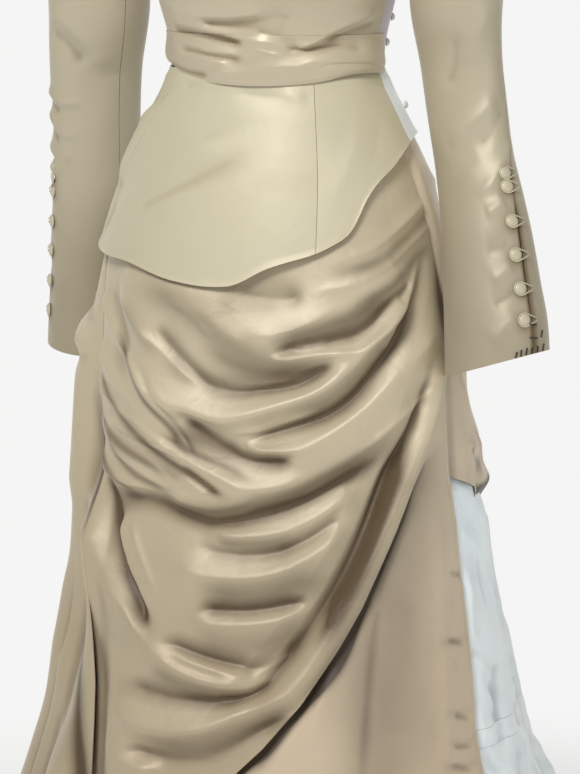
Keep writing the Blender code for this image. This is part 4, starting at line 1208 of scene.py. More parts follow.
# Fine creases of the drape, as seen: depth, width above, width below, places
DRAPE_PINCHES = Pinches((
    (0.0015, 0.006, 0.005, ((112, 852), (122, 833), (135, 823), (146, 826))),
    (0.004, 0.005, 0.004, (
        (158, 843), (150, 813), (144, 799), (125, 771), (99, 748), (86, 740), (57, 736),
        (25, 732))),
    (-0.004, 0.004, 0.004, ((146, 812), (137, 800), (131, 791))),
    (0.003, 0.004, 0.004, ((127, 766), (120, 752), (114, 740))),
    (0.002, 0.004, 0.003, ((13, 742), (35, 744), (57, 748))),
    (0.003, 0.005, 0.004, ((-120, 797), (-95, 783), (-75, 762), (-60, 748))),
    (0.0030, 0.006, 0.005, ((50, 832), (63, 835), (100, 850), (138, 878), (168, 910))),
    (0.0030, 0.006, 0.005, ((30, 802), (50, 805), (90, 816), (138, 848), (172, 882))),
    (0.002, 0.004, 0.004, ((-164, 830), (-146, 813), (-130, 806))),
    (0.002, 0.005, 0.004, ((-62, 708), (-30, 704), (6, 706), (30, 712))),
    (0.0042, 0.006, 0.005, ((-178, 681), (-153, 667), (-135, 650), (-116, 636), (-98, 626))),
    (0.0040, 0.005, 0.004, ((-186, 668), (-164, 654), (-137, 640), (-105, 629))),
    (0.0042, 0.005, 0.005, (
        (-191, 659), (-175, 643), (-159, 630), (-135, 616), (-121, 605), (-103, 587))),
    (0.0040, 0.005, 0.004, (
        (-182, 646), (-170, 630), (-153, 616), (-137, 602), (-121, 591), (-105, 581))),
    (0.0042, 0.006, 0.005, ((-137, 643), (-110, 627), (-83, 613), (-56, 600), (-31, 587))),
    (0.0045, 0.006, 0.005, ((-193, 632), (-183, 610), (-159, 597), (-126, 587), (-94, 578))),
    (0.0030, 0.005, 0.004, ((-105, 605), (-89, 594), (-70, 581))),
    (0.0050, 0.008, 0.006, (
        (-193, 815), (-183, 772), (-164, 735), (-137, 697), (-110, 673), (-90, 655))),
    (0.0045, 0.007, 0.006, ((-206, 790), (-196, 745), (-175, 708), (-148, 678), (-125, 660))),
    (0.0040, 0.007, 0.006, ((-170, 805), (-153, 772), (-126, 740), (-99, 713), (-75, 695))),
    (-0.0040, 0.004, 0.005, ((-152, 730), (-137, 704), (-118, 672), (-98, 640), (-88, 622))),
    (0.0030, 0.006, 0.005, ((-205, 725), (-193, 700), (-180, 688), (-164, 672))),
    (0.003, 0.004, 0.003, ((-52, 650), (-20, 652), (18, 664), (52, 676))),
    (0.003, 0.005, 0.004, ((-160, 560), (-150, 530), (-138, 500), (-125, 470))),
    (0.004, 0.005, 0.004, ((170, 702), (147, 682), (121, 661), (100, 642), (83, 630))),
    (0.003, 0.004, 0.003, ((-120, 424), (-98, 408), (-67, 396), (-35, 389))),
    (0.003, 0.005, 0.005, ((-30, 386), (-10, 394), (10, 406), (20, 412))),
    (0.0040, 0.009, 0.005, ((-215, 640), (-216, 590), (-212, 540), (-204, 500))),
    (-0.009, 0.011, 0.006, ((141, 650), (129, 618), (113, 576), (97, 534), (78, 492), (56, 448))),
))
# Painted shade in the drape's folds, as seen: strength, width above, width below, places
DRAPE_SHADES = Pinches((
    (0.60, 0.007, 0.008, (
        (-200, 740), (-192, 672), (-188, 625), (-185, 588), (-176, 540), (-165, 497), (-150, 459),
        (-134, 430), (-120, 410))),
    (0.50, 0.014, 0.016, (
        (-150, 814), (-118, 799), (-83, 776), (-51, 748), (-13, 728), (30, 726), (70, 745))),
    (0.40, 0.009, 0.010, ((-85, 752), (-50, 726), (-8, 715), (40, 720), (70, 735))),
    (0.40, 0.010, 0.012, ((-10, 758), (20, 762), (46, 767), (79, 778), (118, 800))),
    (0.55, 0.006, 0.007, ((45, 820), (57, 822), (103, 835), (144, 864), (172, 896))),
    (0.50, 0.006, 0.008, ((70, 788), (90, 794), (133, 821), (172, 858))),
    (0.30, 0.010, 0.012, ((-70, 802), (-51, 805), (-8, 812), (20, 806), (40, 795))),
    (0.70, 0.010, 0.015, (
        (-150, 583), (-110, 569), (-72, 564), (-40, 567), (3, 577), (46, 597), (90, 622),
        (130, 645))),
    (0.45, 0.011, 0.010, ((-118, 650), (-83, 640), (-45, 629), (-10, 626), (30, 632))),
    (0.45, 0.009, 0.007, ((-78, 533), (-40, 529), (3, 531), (30, 541))),
    (0.50, 0.016, 0.018, ((-90, 486), (-40, 475), (10, 482), (60, 505))),
    (0.35, 0.014, 0.016, ((-100, 428), (-50, 420), (0, 425), (40, 450))),
    (0.45, 0.010, 0.012, ((-140, 400), (-100, 378), (-56, 368), (-22, 372))),
    (0.50, 0.014, 0.022, ((-150, 318), (-100, 310), (-50, 322), (-5, 345), (30, 365))),
    (0.45, 0.010, 0.012, ((-130, 752), (-100, 722), (-70, 708), (-30, 704), (10, 707), (50, 720))),
    (0.50, 0.012, 0.014, ((-10, 658), (30, 672), (65, 690), (95, 718), (125, 758), (150, 806))),
    (0.45, 0.010, 0.012, ((-20, 750), (20, 752), (60, 762), (100, 782), (135, 810))),
    (1.50, 0.010, 0.006, (
        (145, 655), (131, 621), (115, 578), (98, 535), (79, 492), (56, 448), (36, 410))),
    (0.75, 0.004, 0.005, (
        (-203, 765), (-199, 745), (-191, 713), (-175, 681), (-153, 654), (-126, 632), (-110, 622))),
    (0.85, 0.003, 0.004, (
        (-176, 770), (-172, 756), (-159, 724), (-137, 686), (-116, 659), (-99, 627), (-92, 615))),
    (0.75, 0.004, 0.005, (
        (-207, 696), (-202, 686), (-186, 659), (-164, 637), (-137, 619), (-110, 602), (-95, 592))),
    (0.75, 0.004, 0.005, (
        (-188, 655), (-180, 643), (-164, 619), (-143, 600), (-116, 587), (-105, 584))),
    (0.75, 0.004, 0.005, (
        (-152, 650), (-143, 643), (-116, 621), (-83, 600), (-56, 583), (-44, 578))),
    (0.70, 0.004, 0.006, (
        (-130, 655), (-121, 648), (-89, 627), (-56, 613), (-29, 600), (-15, 596))),
    (0.70, 0.004, 0.005, ((-196, 665), (-193, 654), (-183, 619), (-164, 594), (-150, 585))),
    (0.60, 0.003, 0.004, ((-105, 616), (-94, 610), (-67, 589), (-55, 583))),
    (1.40, 0.011, 0.012, ((166, 930), (173, 900), (177, 859), (179, 816), (181, 772), (183, 725))),
    (0.30, 0.010, 0.010, ((-165, 795), (-145, 760), (-125, 728))),
    (0.30, 0.012, 0.010, ((-70, 792), (-30, 785), (10, 786))),
), sharpness=1.8, taper=0.24)


@dataclass
class ApronDrape(Cloth):
    """The apron drape: its rows hang as swags from both hips to a rolled front edge."""

    finish: Satin = DRAPE_GOLD
    held: Hold = Hold.DRAPED
    shades: Pinches = DRAPE_SHADES
    hollow_depth: float = 0.0055
    hollow_reach: float = 0.016
    swags: tuple = (
        (0.000, 1.020, 1.020),
        (0.054, 0.955, 0.930),
        (0.107, 0.905, 0.870),
        (0.161, 0.875, 0.825),
        (0.223, 0.850, 0.775),
        (0.295, 0.825, 0.720),
        (0.375, 0.795, 0.665),
        (0.464, 0.755, 0.610),
        (0.554, 0.700, 0.553),
        (0.634, 0.630, 0.500),
        (0.714, 0.545, 0.445),
        (0.777, 0.470, 0.390),
        (0.839, 0.380, 0.342),
        (0.893, 0.335, 0.317),
        (0.945, 0.290, 0.288),
        (1.000, 0.245, 0.258),
    )
    roll: tuple = (
        (0.000, 0.000), (0.006, 0.008), (0.015, 0.012), (0.025, 0.004), (0.034, -0.009),
        (0.046, -0.005), (0.064, 0.000),
    )
    roll_top: float = 0.76
    roll_foot: float = 0.375
    roll_fade: float = 0.06
    roll_reach: float = 0.06
    low_angle: float = 12.0
    spread: float = 9.0
    side_bend: float = 1.6
    front_bend: float = 1.5
    crowding: float = 1.25
    tuck: float = 3.0
    tuck_width: float = 7.0
    tuck_deeper: float = 0.012
    tuck_top: float = 0.50
    tuck_run: float = 0.10
    clearance: float = 0.0003
    edge_steps: int = 900

    @staticmethod
    def edge_at(share: np.ndarray) -> tuple:
        """Return places on the front edge.

        Args:
            share: shares of the way down the edge.

        Returns:
            The angles and the heights.
        """
        table = np.array(DRAPE_EDGE, float)
        way = way_along(table)
        way /= way[-1]
        return np.interp(share, way, table[:, 0]), np.interp(share, way, table[:, 1])

    def swag(self, across: np.ndarray, down: np.ndarray) -> tuple:
        """Return places on the swags, which sag between the hips.

        Args:
            across: shares of the way across, from the right hip to the front edge.
            down: shares of the way down.

        Returns:
            The angles and the heights.
        """
        rows = np.array(self.swags, float)
        keys = np.linspace(0.0, 1.0, len(rows))
        share = np.interp(down, keys, rows[:, 0])
        side_height = np.interp(down, keys, rows[:, 1])
        low_height = np.interp(down, keys, rows[:, 2])
        front_angle, front_height = self.edge_at(share)
        side_angle = straight_through(side_height, DRAPE_SIDE) - self.tuck
        low_angle = np.minimum(self.low_angle, front_angle - self.spread)
        angle = front_angle + (side_angle - front_angle) * (1 - across) ** self.crowding
        to_side = np.clip((low_angle - angle) / (low_angle - side_angle), 0, 1)
        to_front = np.clip((angle - low_angle) / (front_angle - low_angle), 0, 1)
        height = (low_height + (side_height - low_height) * to_side ** self.side_bend
                  + (front_height - low_height) * to_front ** self.front_bend)
        return angle, height

    def out(self, angle: np.ndarray, height: np.ndarray) -> np.ndarray:
        """Return how far the drape stands out from the form.

        Args:
            angle: angles round the form.
            height: heights above the floor.

        Returns:
            The distances, in metres.
        """
        out = DRAPE_CREASES.relief(angle, height) + DRAPE_PINCHES.relief(angle, height)
        nearest = np.full(np.shape(angle), np.inf)
        for edge_angle, edge_height in zip(*self.edge_at(np.linspace(0, 1, self.edge_steps))):
            aside = (angle - edge_angle) * METRES_PER_DEGREE
            nearest = np.minimum(nearest, np.hypot(aside, height - edge_height))
        rolled = (smooth_step((self.roll_top - height) / self.roll_fade)
                  * smooth_step((height - self.roll_foot) / self.roll_fade))
        near_roll = rolled * smooth_step(1 - nearest / self.roll_reach)
        out = out * (1 - near_roll) + curve_through(nearest, self.roll)[..., 0] * rolled
        side_angle = straight_through(height, DRAPE_SIDE)
        tucked = smooth_step(1 - (angle - side_angle) / self.tuck_width)
        deeper = self.tuck_deeper * smooth_step((self.tuck_top - height) / self.tuck_run)
        laid_over = right_back_out(np.minimum(angle, side_angle), height)
        out = out * (1 - tucked) + (laid_over - self.thickness - self.clearance - deeper) * tucked
        return under_basque(angle, height, out)

    def place(self, across: np.ndarray, down: np.ndarray) -> np.ndarray:
        """Return the drape's outer face.

        Args:
            across: shares of the way across, from 0 to 1.
            down: shares of the way down.

        Returns:
            Points, their axes last.
        """
        angle, height = self.swag(across, down)
        self.deepen(angle, height)
        return FORM.place(angle, height, self.out(angle, height))


def drape_edge_angle(height: np.ndarray) -> np.ndarray:
    """Return the angle of the drape's front edge at a height."""
    table = np.array(DRAPE_EDGE[::-1], float)
    return np.interp(height, table[:, 1], table[:, 0])


# Soft hanging folds of the side panel and puckers of its edge, as seen
PANEL_PINCHES = Pinches((
    (0.0040, 0.016, 0.010, ((98, 560), (70, 440), (40, 330), (20, 230))),
    (-0.0030, 0.014, 0.014, ((130, 600), (112, 470), (98, 330), (90, 200))),
    (0.0035, 0.014, 0.018, ((178, 650), (180, 500), (186, 350), (190, 180))),
    (0.0025, 0.008, 0.006, ((176, 676), (166, 638), (154, 611), (146, 570))),
    (-0.0020, 0.004, 0.005, ((180, 426), (196, 424), (208, 421))),
    (0.0018, 0.004, 0.004, ((184, 416), (198, 413), (210, 410))),
    (-0.0022, 0.004, 0.005, ((190, 345), (203, 343), (214, 340))),
    (-0.0022, 0.004, 0.004, ((188, 312), (203, 310), (216, 313))),
    (0.0018, 0.004, 0.004, ((188, 302), (204, 300), (218, 302))),
    (-0.0022, 0.005, 0.005, ((180, 292), (200, 288), (219, 285))),
    (-0.0018, 0.004, 0.005, ((186, 500), (200, 497), (208, 495))),
    (-0.0018, 0.004, 0.005, ((190, 180), (208, 178), (224, 180))),
), taper=0.35)


# Painted shade on the side panel, as seen: strength, width above, width below, places
PANEL_SHADES = Pinches((
    (0.42, 0.055, 0.045, ((140, 660), (134, 513), (116, 416), (104, 300), (98, 180))),
    (1.30, 0.006, 0.006, (
        (150, 600), (126, 540), (115, 512), (94, 467), (77, 418), (58, 386), (23, 348), (-17, 294),
        (-35, 270))),
    (0.16, 0.004, 0.004, ((174, 422), (194, 426), (212, 430))),
    (0.16, 0.005, 0.004, ((180, 345), (198, 348), (216, 352))),
    (0.14, 0.004, 0.004, ((184, 314), (200, 318), (218, 320))),
    (0.16, 0.006, 0.005, ((178, 287), (202, 291), (222, 294))),
    (0.40, 0.004, 0.005, ((166, 700), (163, 672), (155, 645), (146, 612))),
), sharpness=1.8, taper=0.15)


@dataclass
class SidePanel(Cloth):
    """The flat gold panel on the wearer's left, whose front edge lies under the drape."""

    shades: Pinches = PANEL_SHADES
    top: float = 0.80
    tuck: float = 4.0
    low_angle: float = -10.0
    free_run: float = 0.03
    slit_top: float = 0.66
    slit_width: float = 6.0
    slit_fade: float = 0.04
    out: float = -0.004
    top_out: float = -0.0028
    slit_out: float = -0.012
    bound: float = 0.0010
    bound_width: float = 0.005
    slit_shade: float = 0.011
    slit_shade_run: float = 0.08

    def place(self, across: np.ndarray, down: np.ndarray) -> np.ndarray:
        """Return the panel's outer face.

        Args:
            across: shares of the way across, from 0 to 1.
            down: shares of the way down.

        Returns:
            Points, their axes last.
        """
        height = self.top + (HEM - self.top) * down
        foot = DRAPE_EDGE[-1][1]
        edge = drape_edge_angle(np.maximum(height, foot))
        free = smooth_step((foot - height) / self.free_run)
        first = (edge - self.tuck) * (1 - free) + (self.low_angle + FORM.seam_spare(height)) * free
        last = straight_through(height, PANEL_EDGE)
        angle = first + (last - first) * across
        self.deepen(angle, height)
        slit = smooth_step(1 - (angle - edge) / self.slit_width) * (1 - free)
        slit = slit * smooth_step((self.slit_top - height) / self.slit_fade)
        shade = np.exp(-((angle - edge) * METRES_PER_DEGREE / self.slit_shade) ** 4)
        shade = shade * smooth_step((self.slit_top - height) / self.slit_shade_run)
        self.shaded = self.shaded + shade * (1 - free)
        seated = smooth_step((height - self.top + self.free_run) / self.free_run)
        out = self.out + (self.slit_out - self.out) * slit + (self.top_out - self.out) * seated
        out = out + PANEL_PINCHES.relief(angle, height) * (1 - seated)
        from_edge = (last - angle) * METRES_PER_DEGREE
        bound = smooth_step(1 - from_edge / self.bound_width)
        out = out + self.bound * bound * (1 - seated)
        return FORM.place(angle, height, out)


@dataclass
class LowerFront(Cloth):
    """The plain front below the apron drape."""

    top: float = 0.300
    shelter: float = 0.235
    shelter_run: float = 0.03
    out: float = -0.004
    sheltered_out: float = -0.022
    under_back_out: float = -0.018
    tuck: float = 3.0
    tuck_width: float = 7.0
    last_angle: float = -10.0

    def place(self, across: np.ndarray, down: np.ndarray) -> np.ndarray:
        """Return the panel's outer face.

        Args:
            across: shares of the way across, from 0 to 1.
            down: shares of the way down.

        Returns:
            Points, their axes last.
        """
        height = self.top + (HEM - self.top) * down
        first = straight_through(height, DRAPE_SIDE) - self.tuck
        last = self.last_angle - FORM.seam_spare(height)
        angle = first + (last - first) * across
        sheltered = smooth_step((height - self.shelter) / self.shelter_run)
        out = self.out + (self.sheltered_out - self.out) * sheltered
        beside_back = smooth_step(1 - (angle - first) / self.tuck_width)
        out = out + (np.minimum(out, self.under_back_out) - out) * beside_back
        return FORM.place(angle, height, out)


# Creases between the hanging folds: depth, width to the right, width to the left, angle and height
RIGHT_BACK_PINCHES = Pinches((
    (0.004, 0.010, 0.007, ((-72, 800), (-75, 640), (-72, 450), (-70, 250))),
    (-0.004, 0.008, 0.010, ((-60, 560), (-58, 420), (-57, 240), (-57, 80))),
    (0.004, 0.009, 0.006, ((-88, 760), (-90, 560), (-88, 330), (-87, 120))),
    (-0.003, 0.008, 0.008, ((-104, 860), (-105, 700), (-104, 520))),
    (0.004, 0.010, 0.006, ((-118, 700), (-121, 480), (-120, 260), (-121, 60))),
    (-0.0030, 0.014, 0.012, ((-136, 880), (-139, 700), (-138, 540), (-136, 330))),
    (0.005, 0.008, 0.006, ((-154, 820), (-155, 600), (-153, 300), (-155, 80))),
    (-0.004, 0.008, 0.008, ((-170, 640), (-171, 420), (-170, 150))),
    (0.0020, 0.012, 0.009, ((-112, 960), (-100, 930), (-86, 915), (-74, 910))),
    (-0.0020, 0.013, 0.010, ((-140, 950), (-118, 915), (-96, 890), (-80, 880))),
    (0.0020, 0.014, 0.010, ((-168, 930), (-150, 880), (-128, 850), (-104, 842))),
    (0.003, 0.007, 0.007, ((-80, 380), (-79, 260), (-81, 120), (-80, 30))),
    (0.003, 0.007, 0.007, ((-45, 330), (-43, 220), (-42, 100), (-42, 30))),
), seen=False, sharpness=1.4)


# Painted shade between the hanging folds, as seen: strength, width right, width left, places
RIGHT_BACK_SHADES = Pinches((
    (0.95, 0.012, 0.010, (
        (-204, 510), (-208, 470), (-212, 427), (-213, 362), (-214, 282), (-216, 200))),
), sharpness=1.8, taper=0.2)


@dataclass
class RightBack(Cloth):
    """The right and back of the skirt, in hanging folds."""

    finish: Satin = DRAPE_GOLD
    shades: Pinches = RIGHT_BACK_SHADES
    bend: float = 0.0009
    bend_width: float = 1.5
    valley_shade_width: float = 4.5
    valley_shade_top: float = 0.715
    valley_shade_foot: float = 0.540
    valley_shade_run: float = 0.060

    def place(self, across: np.ndarray, down: np.ndarray) -> np.ndarray:
        """Return the panel's outer face.

        Args:
            across: shares of the way across, from 0 to 1.
            down: shares of the way down.

        Returns:
            Points, their axes last.
        """
        height = SKIRT_TOP + (HEM - SKIRT_TOP) * down
        first = BACK_MEETING - 360 + FORM.seam_spare(height)
        last = straight_through(height, DRAPE_SIDE)
        angle = first + (last - first) * across
        self.deepen(angle, height)
        # Painted shade in the valley beside the drape's edge; the surface is not sunk for it.
        valley_shade = np.exp(-((last - angle) / self.valley_shade_width) ** 2)
        valley_shade = valley_shade * smooth_step((self.valley_shade_top - height) / self.valley_shade_run)
        valley_shade = valley_shade * smooth_step((height - self.valley_shade_foot) / self.valley_shade_run)
        self.shaded = self.shaded + valley_shade
        out = right_back_out(angle, height) + RIGHT_BACK_PINCHES.relief(angle, height)
        out = out - self.bend * smooth_step(1 - (last - angle) / self.bend_width)
        return FORM.place(angle, height, out)


BAND_TOP = 0.347
BAND_FOOT = 0.327
TIER_GAP = 0.0003
# Crumples of the underskirt: depth, width to the right, width to the left, angle and height
UNDER_PINCHES = Pinches((
    (0.0030, 0.008, 0.006, ((84, 580), (88, 560), (94, 545), (100, 520))),
    (-0.0028, 0.007, 0.007, ((82, 560), (87, 540), (92, 515))),
    (0.0030, 0.008, 0.005, ((83, 545), (87, 525), (90, 500), (91, 470))),
    (-0.0028, 0.008, 0.006, ((96, 540), (98, 510), (98, 470), (96, 440))),
    (0.0030, 0.007, 0.005, ((101, 520), (103, 480), (102, 440), (100, 410))),
    (0.0026, 0.006, 0.006, ((84, 480), (87, 455), (92, 440))),
    (-0.0024, 0.006, 0.006, ((84, 460), (90, 430), (94, 420))),
    (0.0030, 0.006, 0.005, ((86, 430), (92, 410), (96, 385))),
    (-0.0028, 0.008, 0.006, ((90, 400), (94, 380), (96, 350))),
    (0.0034, 0.007, 0.007, ((104, 430), (107, 415), (110, 395), (108, 375))),
    (0.0034, 0.006, 0.006, ((108, 390), (111, 378), (113, 360))),
    (-0.0024, 0.006, 0.006, ((100, 420), (103, 395), (104, 365))),
    (0.0030, 0.007, 0.005, ((120, 520), (122, 470), (121, 420))),
    (-0.0028, 0.007, 0.006, ((127, 530), (126, 480), (128, 400))),
    (0.0030, 0.008, 0.005, ((147, 530), (146, 460), (148, 390))),
    (-0.0024, 0.007, 0.007, ((163, 530), (165, 450), (164, 370))),
    (0.0026, 0.008, 0.006, ((178, 520), (177, 440), (179, 360))),
), seen=False, sharpness=1.3, taper=0.35)


@dataclass
class Underskirt(Cloth):
    """One tier of the pale underskirt."""

    finish: Satin = PETTICOAT
    tone: Tone = Tone.PALE
    hollow_depth: float = 0.0060
    hollow_reach: float = 0.016
    top: float = SKIRT_TOP
    foot: float = BAND_TOP
    waves: int = 0
    wave_depth: float = 0.007
    gather_share: float = 0.3
    start: float = 76.0
    turn: float = 6.0
    turn_top: float = 0.42
    turn_run: float = 0.15
    panel_width: float = 4.0
    out: float = -0.0012
    under_panel: float = -0.010
    under_panel_deeper: float = 0.005
    under_tail: float = -0.0305
    crumple: float = 0.0024
    stretch: float = 0.30
    fine: float = 0.0012
    fine_top: float = 0.46
    fine_run: float = 0.10
    crumple_size: float = 0.020
    small_size: float = 0.010
    small_share: float = 0.3
    fine_size: float = 0.014
    seeds: tuple = (5, 8, 11)
    tail_foot: float = 0.535
    tail_run: float = 0.05
    tail_rise: float = 0.068
    tail_rise_end: float = 106.0
    tail_rise_run: float = 8.0

    def place(self, across: np.ndarray, down: np.ndarray) -> np.ndarray:
        """Return the tier's outer face.

        Args:
            across: shares of the way across, from 0 to 1.
            down: shares of the way down.

        Returns:
            Points, their axes last.
        """
        height = self.top + (self.foot - self.top) * down
        turned = smooth_step((self.turn_top - height) / self.turn_run)
        first = self.start - self.turn * turned
        last = BACK_MEETING - FORM.seam_spare(height)
        angle = first + (last - first) * across
        past_panel = angle - straight_through(height, PANEL_EDGE)
        under_panel = smooth_step(1 - past_panel / self.panel_width)
        raised = smooth_step((self.tail_rise_end - angle) / self.tail_rise_run)
        tail_foot = self.tail_foot + self.tail_rise * raised
        under_tail = smooth_step((height - tail_foot) / self.tail_run)
        out = self.out + flute_relief(angle, height, UNDERSKIRT_FLUTES)
        out = out * (1 - under_tail) + self.under_tail * under_tail
        tucked = self.under_panel - self.under_panel_deeper * under_tail
        out = out * (1 - under_panel) + tucked * under_panel
        if self.waves:
            clear = smooth_step(past_panel / self.panel_width)
            clear = clear * smooth_step((BACK_MEETING - angle) / MEETING_FLAT)
            wave = np.sin(across * self.waves * 2 * math.pi)
            out = out + self.wave_depth * wave * smooth_step(down / self.gather_share) * clear
        clear_of_panel = smooth_step(past_panel / self.panel_width)
        creased = UNDER_PINCHES.relief(angle, height)
        spots = np.stack([angle * METRES_PER_DEGREE, height * self.stretch], axis=-1)
        crumpled = wander(spots, self.crumple_size, self.seeds[0]) * self.crumple
        crumpled = crumpled + (wander(spots, self.small_size, self.seeds[1])
                               * self.small_share * self.crumple)
        fine = np.stack([angle * METRES_PER_DEGREE, height], axis=-1)
        crumpled = crumpled + (wander(fine, self.fine_size, self.seeds[2]) * self.fine
                               * smooth_step((self.fine_top - height) / self.fine_run))
        out = out + (creased + crumpled) * clear_of_panel * (1 - under_tail)
        return FORM.place(angle, height, out)


# Creases of the tail: depth, width to the right, width to the left, angle and height
TAIL_PINCHES = Pinches((
    (0.004, 0.008, 0.006, ((88, 740), (93, 690), (98, 640))),
    (-0.004, 0.007, 0.007, ((92, 760), (98, 700), (103, 650))),
    (0.003, 0.006, 0.005, ((98, 720), (103, 680), (107, 640), (110, 600))),
    (0.003, 0.006, 0.005, ((90, 655), (97, 648), (104, 640))),
    (0.005, 0.012, 0.008, ((122, 900), (124, 780), (126, 670))),
    (-0.004, 0.010, 0.008, ((132, 860), (132, 760), (134, 650))),
    (0.004, 0.010, 0.007, ((146, 920), (146, 800), (147, 680))),
    (-0.004, 0.010, 0.008, ((160, 900), (161, 780), (162, 680))),
    (0.003, 0.012, 0.008, ((90, 960), (112, 930), (140, 935), (170, 950))),
    (-0.003, 0.012, 0.010, ((95, 930), (118, 890), (145, 900))),
), seen=False, taper=0.35)


@dataclass
class Tail(Cloth):
    """The gold tail at the wearer's left back hip, with its turned-under corner."""

    first: float = 79.5
    last: float = 178.0
    top: float = 1.015
    finish: Satin = PANEL_GOLD
    hem: tuple = (
        (79, 0.628), (90, 0.613), (95, 0.604), (97, 0.572), (100, 0.551), (106, 0.570),
        (113, 0.598),
        (140, 0.622), (178, 0.660),
    )
    corner_height: float = 0.601
    corner_turn: float = -0.012
    corner_start: float = 95.5
    corner_end: float = 113.0
    corner_shade_run: float = 0.006
    corner_run: float = 0.03
    tuck_end: float = 83.0
    tuck_width: float = 9.0
    out: float = 0.0036
    tuck_out: float = -0.0069
    hem_bead: float = 0.0014
    hem_start: float = 0.975
    folds: Folds = Folds((
        (111, 0.880, 112, 0.760, 113, 0.640, 0.050, 0.050, -0.027),
        (96, 0.622, 108, 0.603, 120, 0.602, 0.016, 0.016, 0.005),
        (138, 0.930, 140, 0.790, 141, 0.650, 0.014, 0.014, -0.008),
        (150, 0.930, 153, 0.800, 155, 0.660, 0.016, 0.016, 0.009),
        (168, 0.930, 168, 0.800, 169, 0.670, 0.014, 0.014, -0.008),
    ))

    def place(self, across: np.ndarray, down: np.ndarray) -> np.ndarray:
        """Return the tail's outer face.

        Args:
            across: shares of the way across, from 0 to 1.
            down: shares of the way down.

        Returns:
            Points, their axes last.
        """
        angle = self.first + (self.last - self.first) * across
        hem = straight_through(angle, self.hem)
        height = self.top + (hem - self.top) * down
        # Painted shade on the turned-under corner, below the corner's fold.
        below = smooth_step((self.corner_height + self.corner_shade_run - height) / self.corner_shade_run)
        self.shaded = below * (angle > self.corner_start) * (angle < self.corner_end)
        out = self.out + self.folds.relief(angle, height)
        out = out + self.corner_turn * smooth_step((self.corner_height - height) / self.corner_run)
        out = out + TAIL_PINCHES.relief(angle, height)
        out = out + self.hem_bead * smooth_step((down - self.hem_start) / (1 - self.hem_start))
        tuck = smooth_step(1 - (angle - self.tuck_end) / self.tuck_width)
        return FORM.place(angle, height, out * (1 - tuck) + self.tuck_out * tuck)


def build_skirt() -> None:
    """Make the apron drape, the panels round it, the tail and the underskirt."""
    ApronDrape("skirt_drape", 220, 420, flat=(0.55, 0.93), area=0.31).build()
    SidePanel("skirt_side_panel_left", 130, 260, finish=PANEL_GOLD, flat=(0.515, 0.925),
              area=0.20).build()
    LowerFront("skirt_lower_front", 30, 50, finish=PANEL_GOLD, flat=(0.112, 0.31),
               area=0.031).build()
    RightBack("skirt_right_back", 300, 180, flat=(1.07, 1.08), area=0.66).build()
    Underskirt("underskirt_upper", 200, 220, flat=(0.57, 0.73), area=0.265).build()
    Underskirt("underskirt_band", 160, 8, top=BAND_TOP - TIER_GAP, foot=BAND_FOOT,
               flat=(0.58, 0.021), area=0.0115, held=Hold.GATHERED).build()
    Underskirt("underskirt_flounce", 300, 110, top=BAND_FOOT - TIER_GAP, foot=HEM, waves=12,
               flat=(0.89, 0.35), area=0.254, held=Hold.GATHERED).build()
    Tail("back_tail", 180, 160, flat=(0.43, 0.47), area=0.136).build()


@dataclass(frozen=True)
class Yoke:
    """The cut of the shoulders and the neck."""

    armhole: tuple = (
        (UNDERARM, 0.0), (1.275, 10.0), (1.305, 20.0), (1.340, 24.0), (YOKE_TOP, 24.0),
    )
    back_share: float = 0.55
    blend_start: float = 0.70
    inward_bend: float = 1.6
    neck_half_width: float = 0.066
    neck_y: float = 0.008
    neck_share: float = 0.42
    front_neck: tuple = (0.062, 1.388)
    back_neck: tuple = (0.058, 1.432)
    neck_point_height: float = 1.447
    shoulder_point: tuple = (0.172, 0.004, 1.408)

    def cut_in(self, height: np.ndarray) -> np.ndarray:
        """Return how far the armhole cuts into the panel beside it, in degrees."""
        return straight_through(height, self.armhole)

    def top_edge(self, share: np.ndarray, side: int, neck: tuple) -> np.ndarray:
        """Return the neckline and the shoulder seam.

        Args:
            share: shares of the way from the centre to the shoulder's point.
            side: -1 in front and 1 behind.
            neck: the neckline's depth and its height at the centre.

        Returns:
            Points, their axes last.
        """
        depth, neck_height = neck
        turn = np.radians(90.0) * np.clip(share / self.neck_share, 0, 1)
        run = np.clip((share - self.neck_share) / (1 - self.neck_share), 0, 1)
        point_x, point_y, point_height = self.shoulder_point
        x = self.neck_half_width * np.sin(turn) + (point_x - self.neck_half_width) * run
        y = self.neck_y + side * (depth * np.cos(turn) + 0.5 * SEAM_GAP)
        y = y + (point_y - self.neck_y) * run
        height = neck_height + (self.neck_point_height - neck_height) * (1 - np.cos(turn))
        height = height + (point_height - self.neck_point_height) * run
        return np.stack([x, y, height - SHOULDER_HEIGHT], axis=-1)

    def roll_over(self, section: np.ndarray, top: np.ndarray, rise: np.ndarray) -> np.ndarray:
        """Lead the panel's sections over the shoulder.

        Args:
            section: points of the level sections.
            top: points of the top edge above them.
            rise: shares of the way up the panel.

        Returns:
            The panel's points.
        """
        share = np.clip((rise - self.blend_start) / (1 - self.blend_start), 0, 1)
        upward = smooth_step(share)
        blend = np.stack([upward, share ** self.inward_bend, upward], axis=-1)
        return section * (1 - blend) + top * blend


YOKE = Yoke()
BODICE_OUT = 0.0024
LEAST_FOLD = -0.002
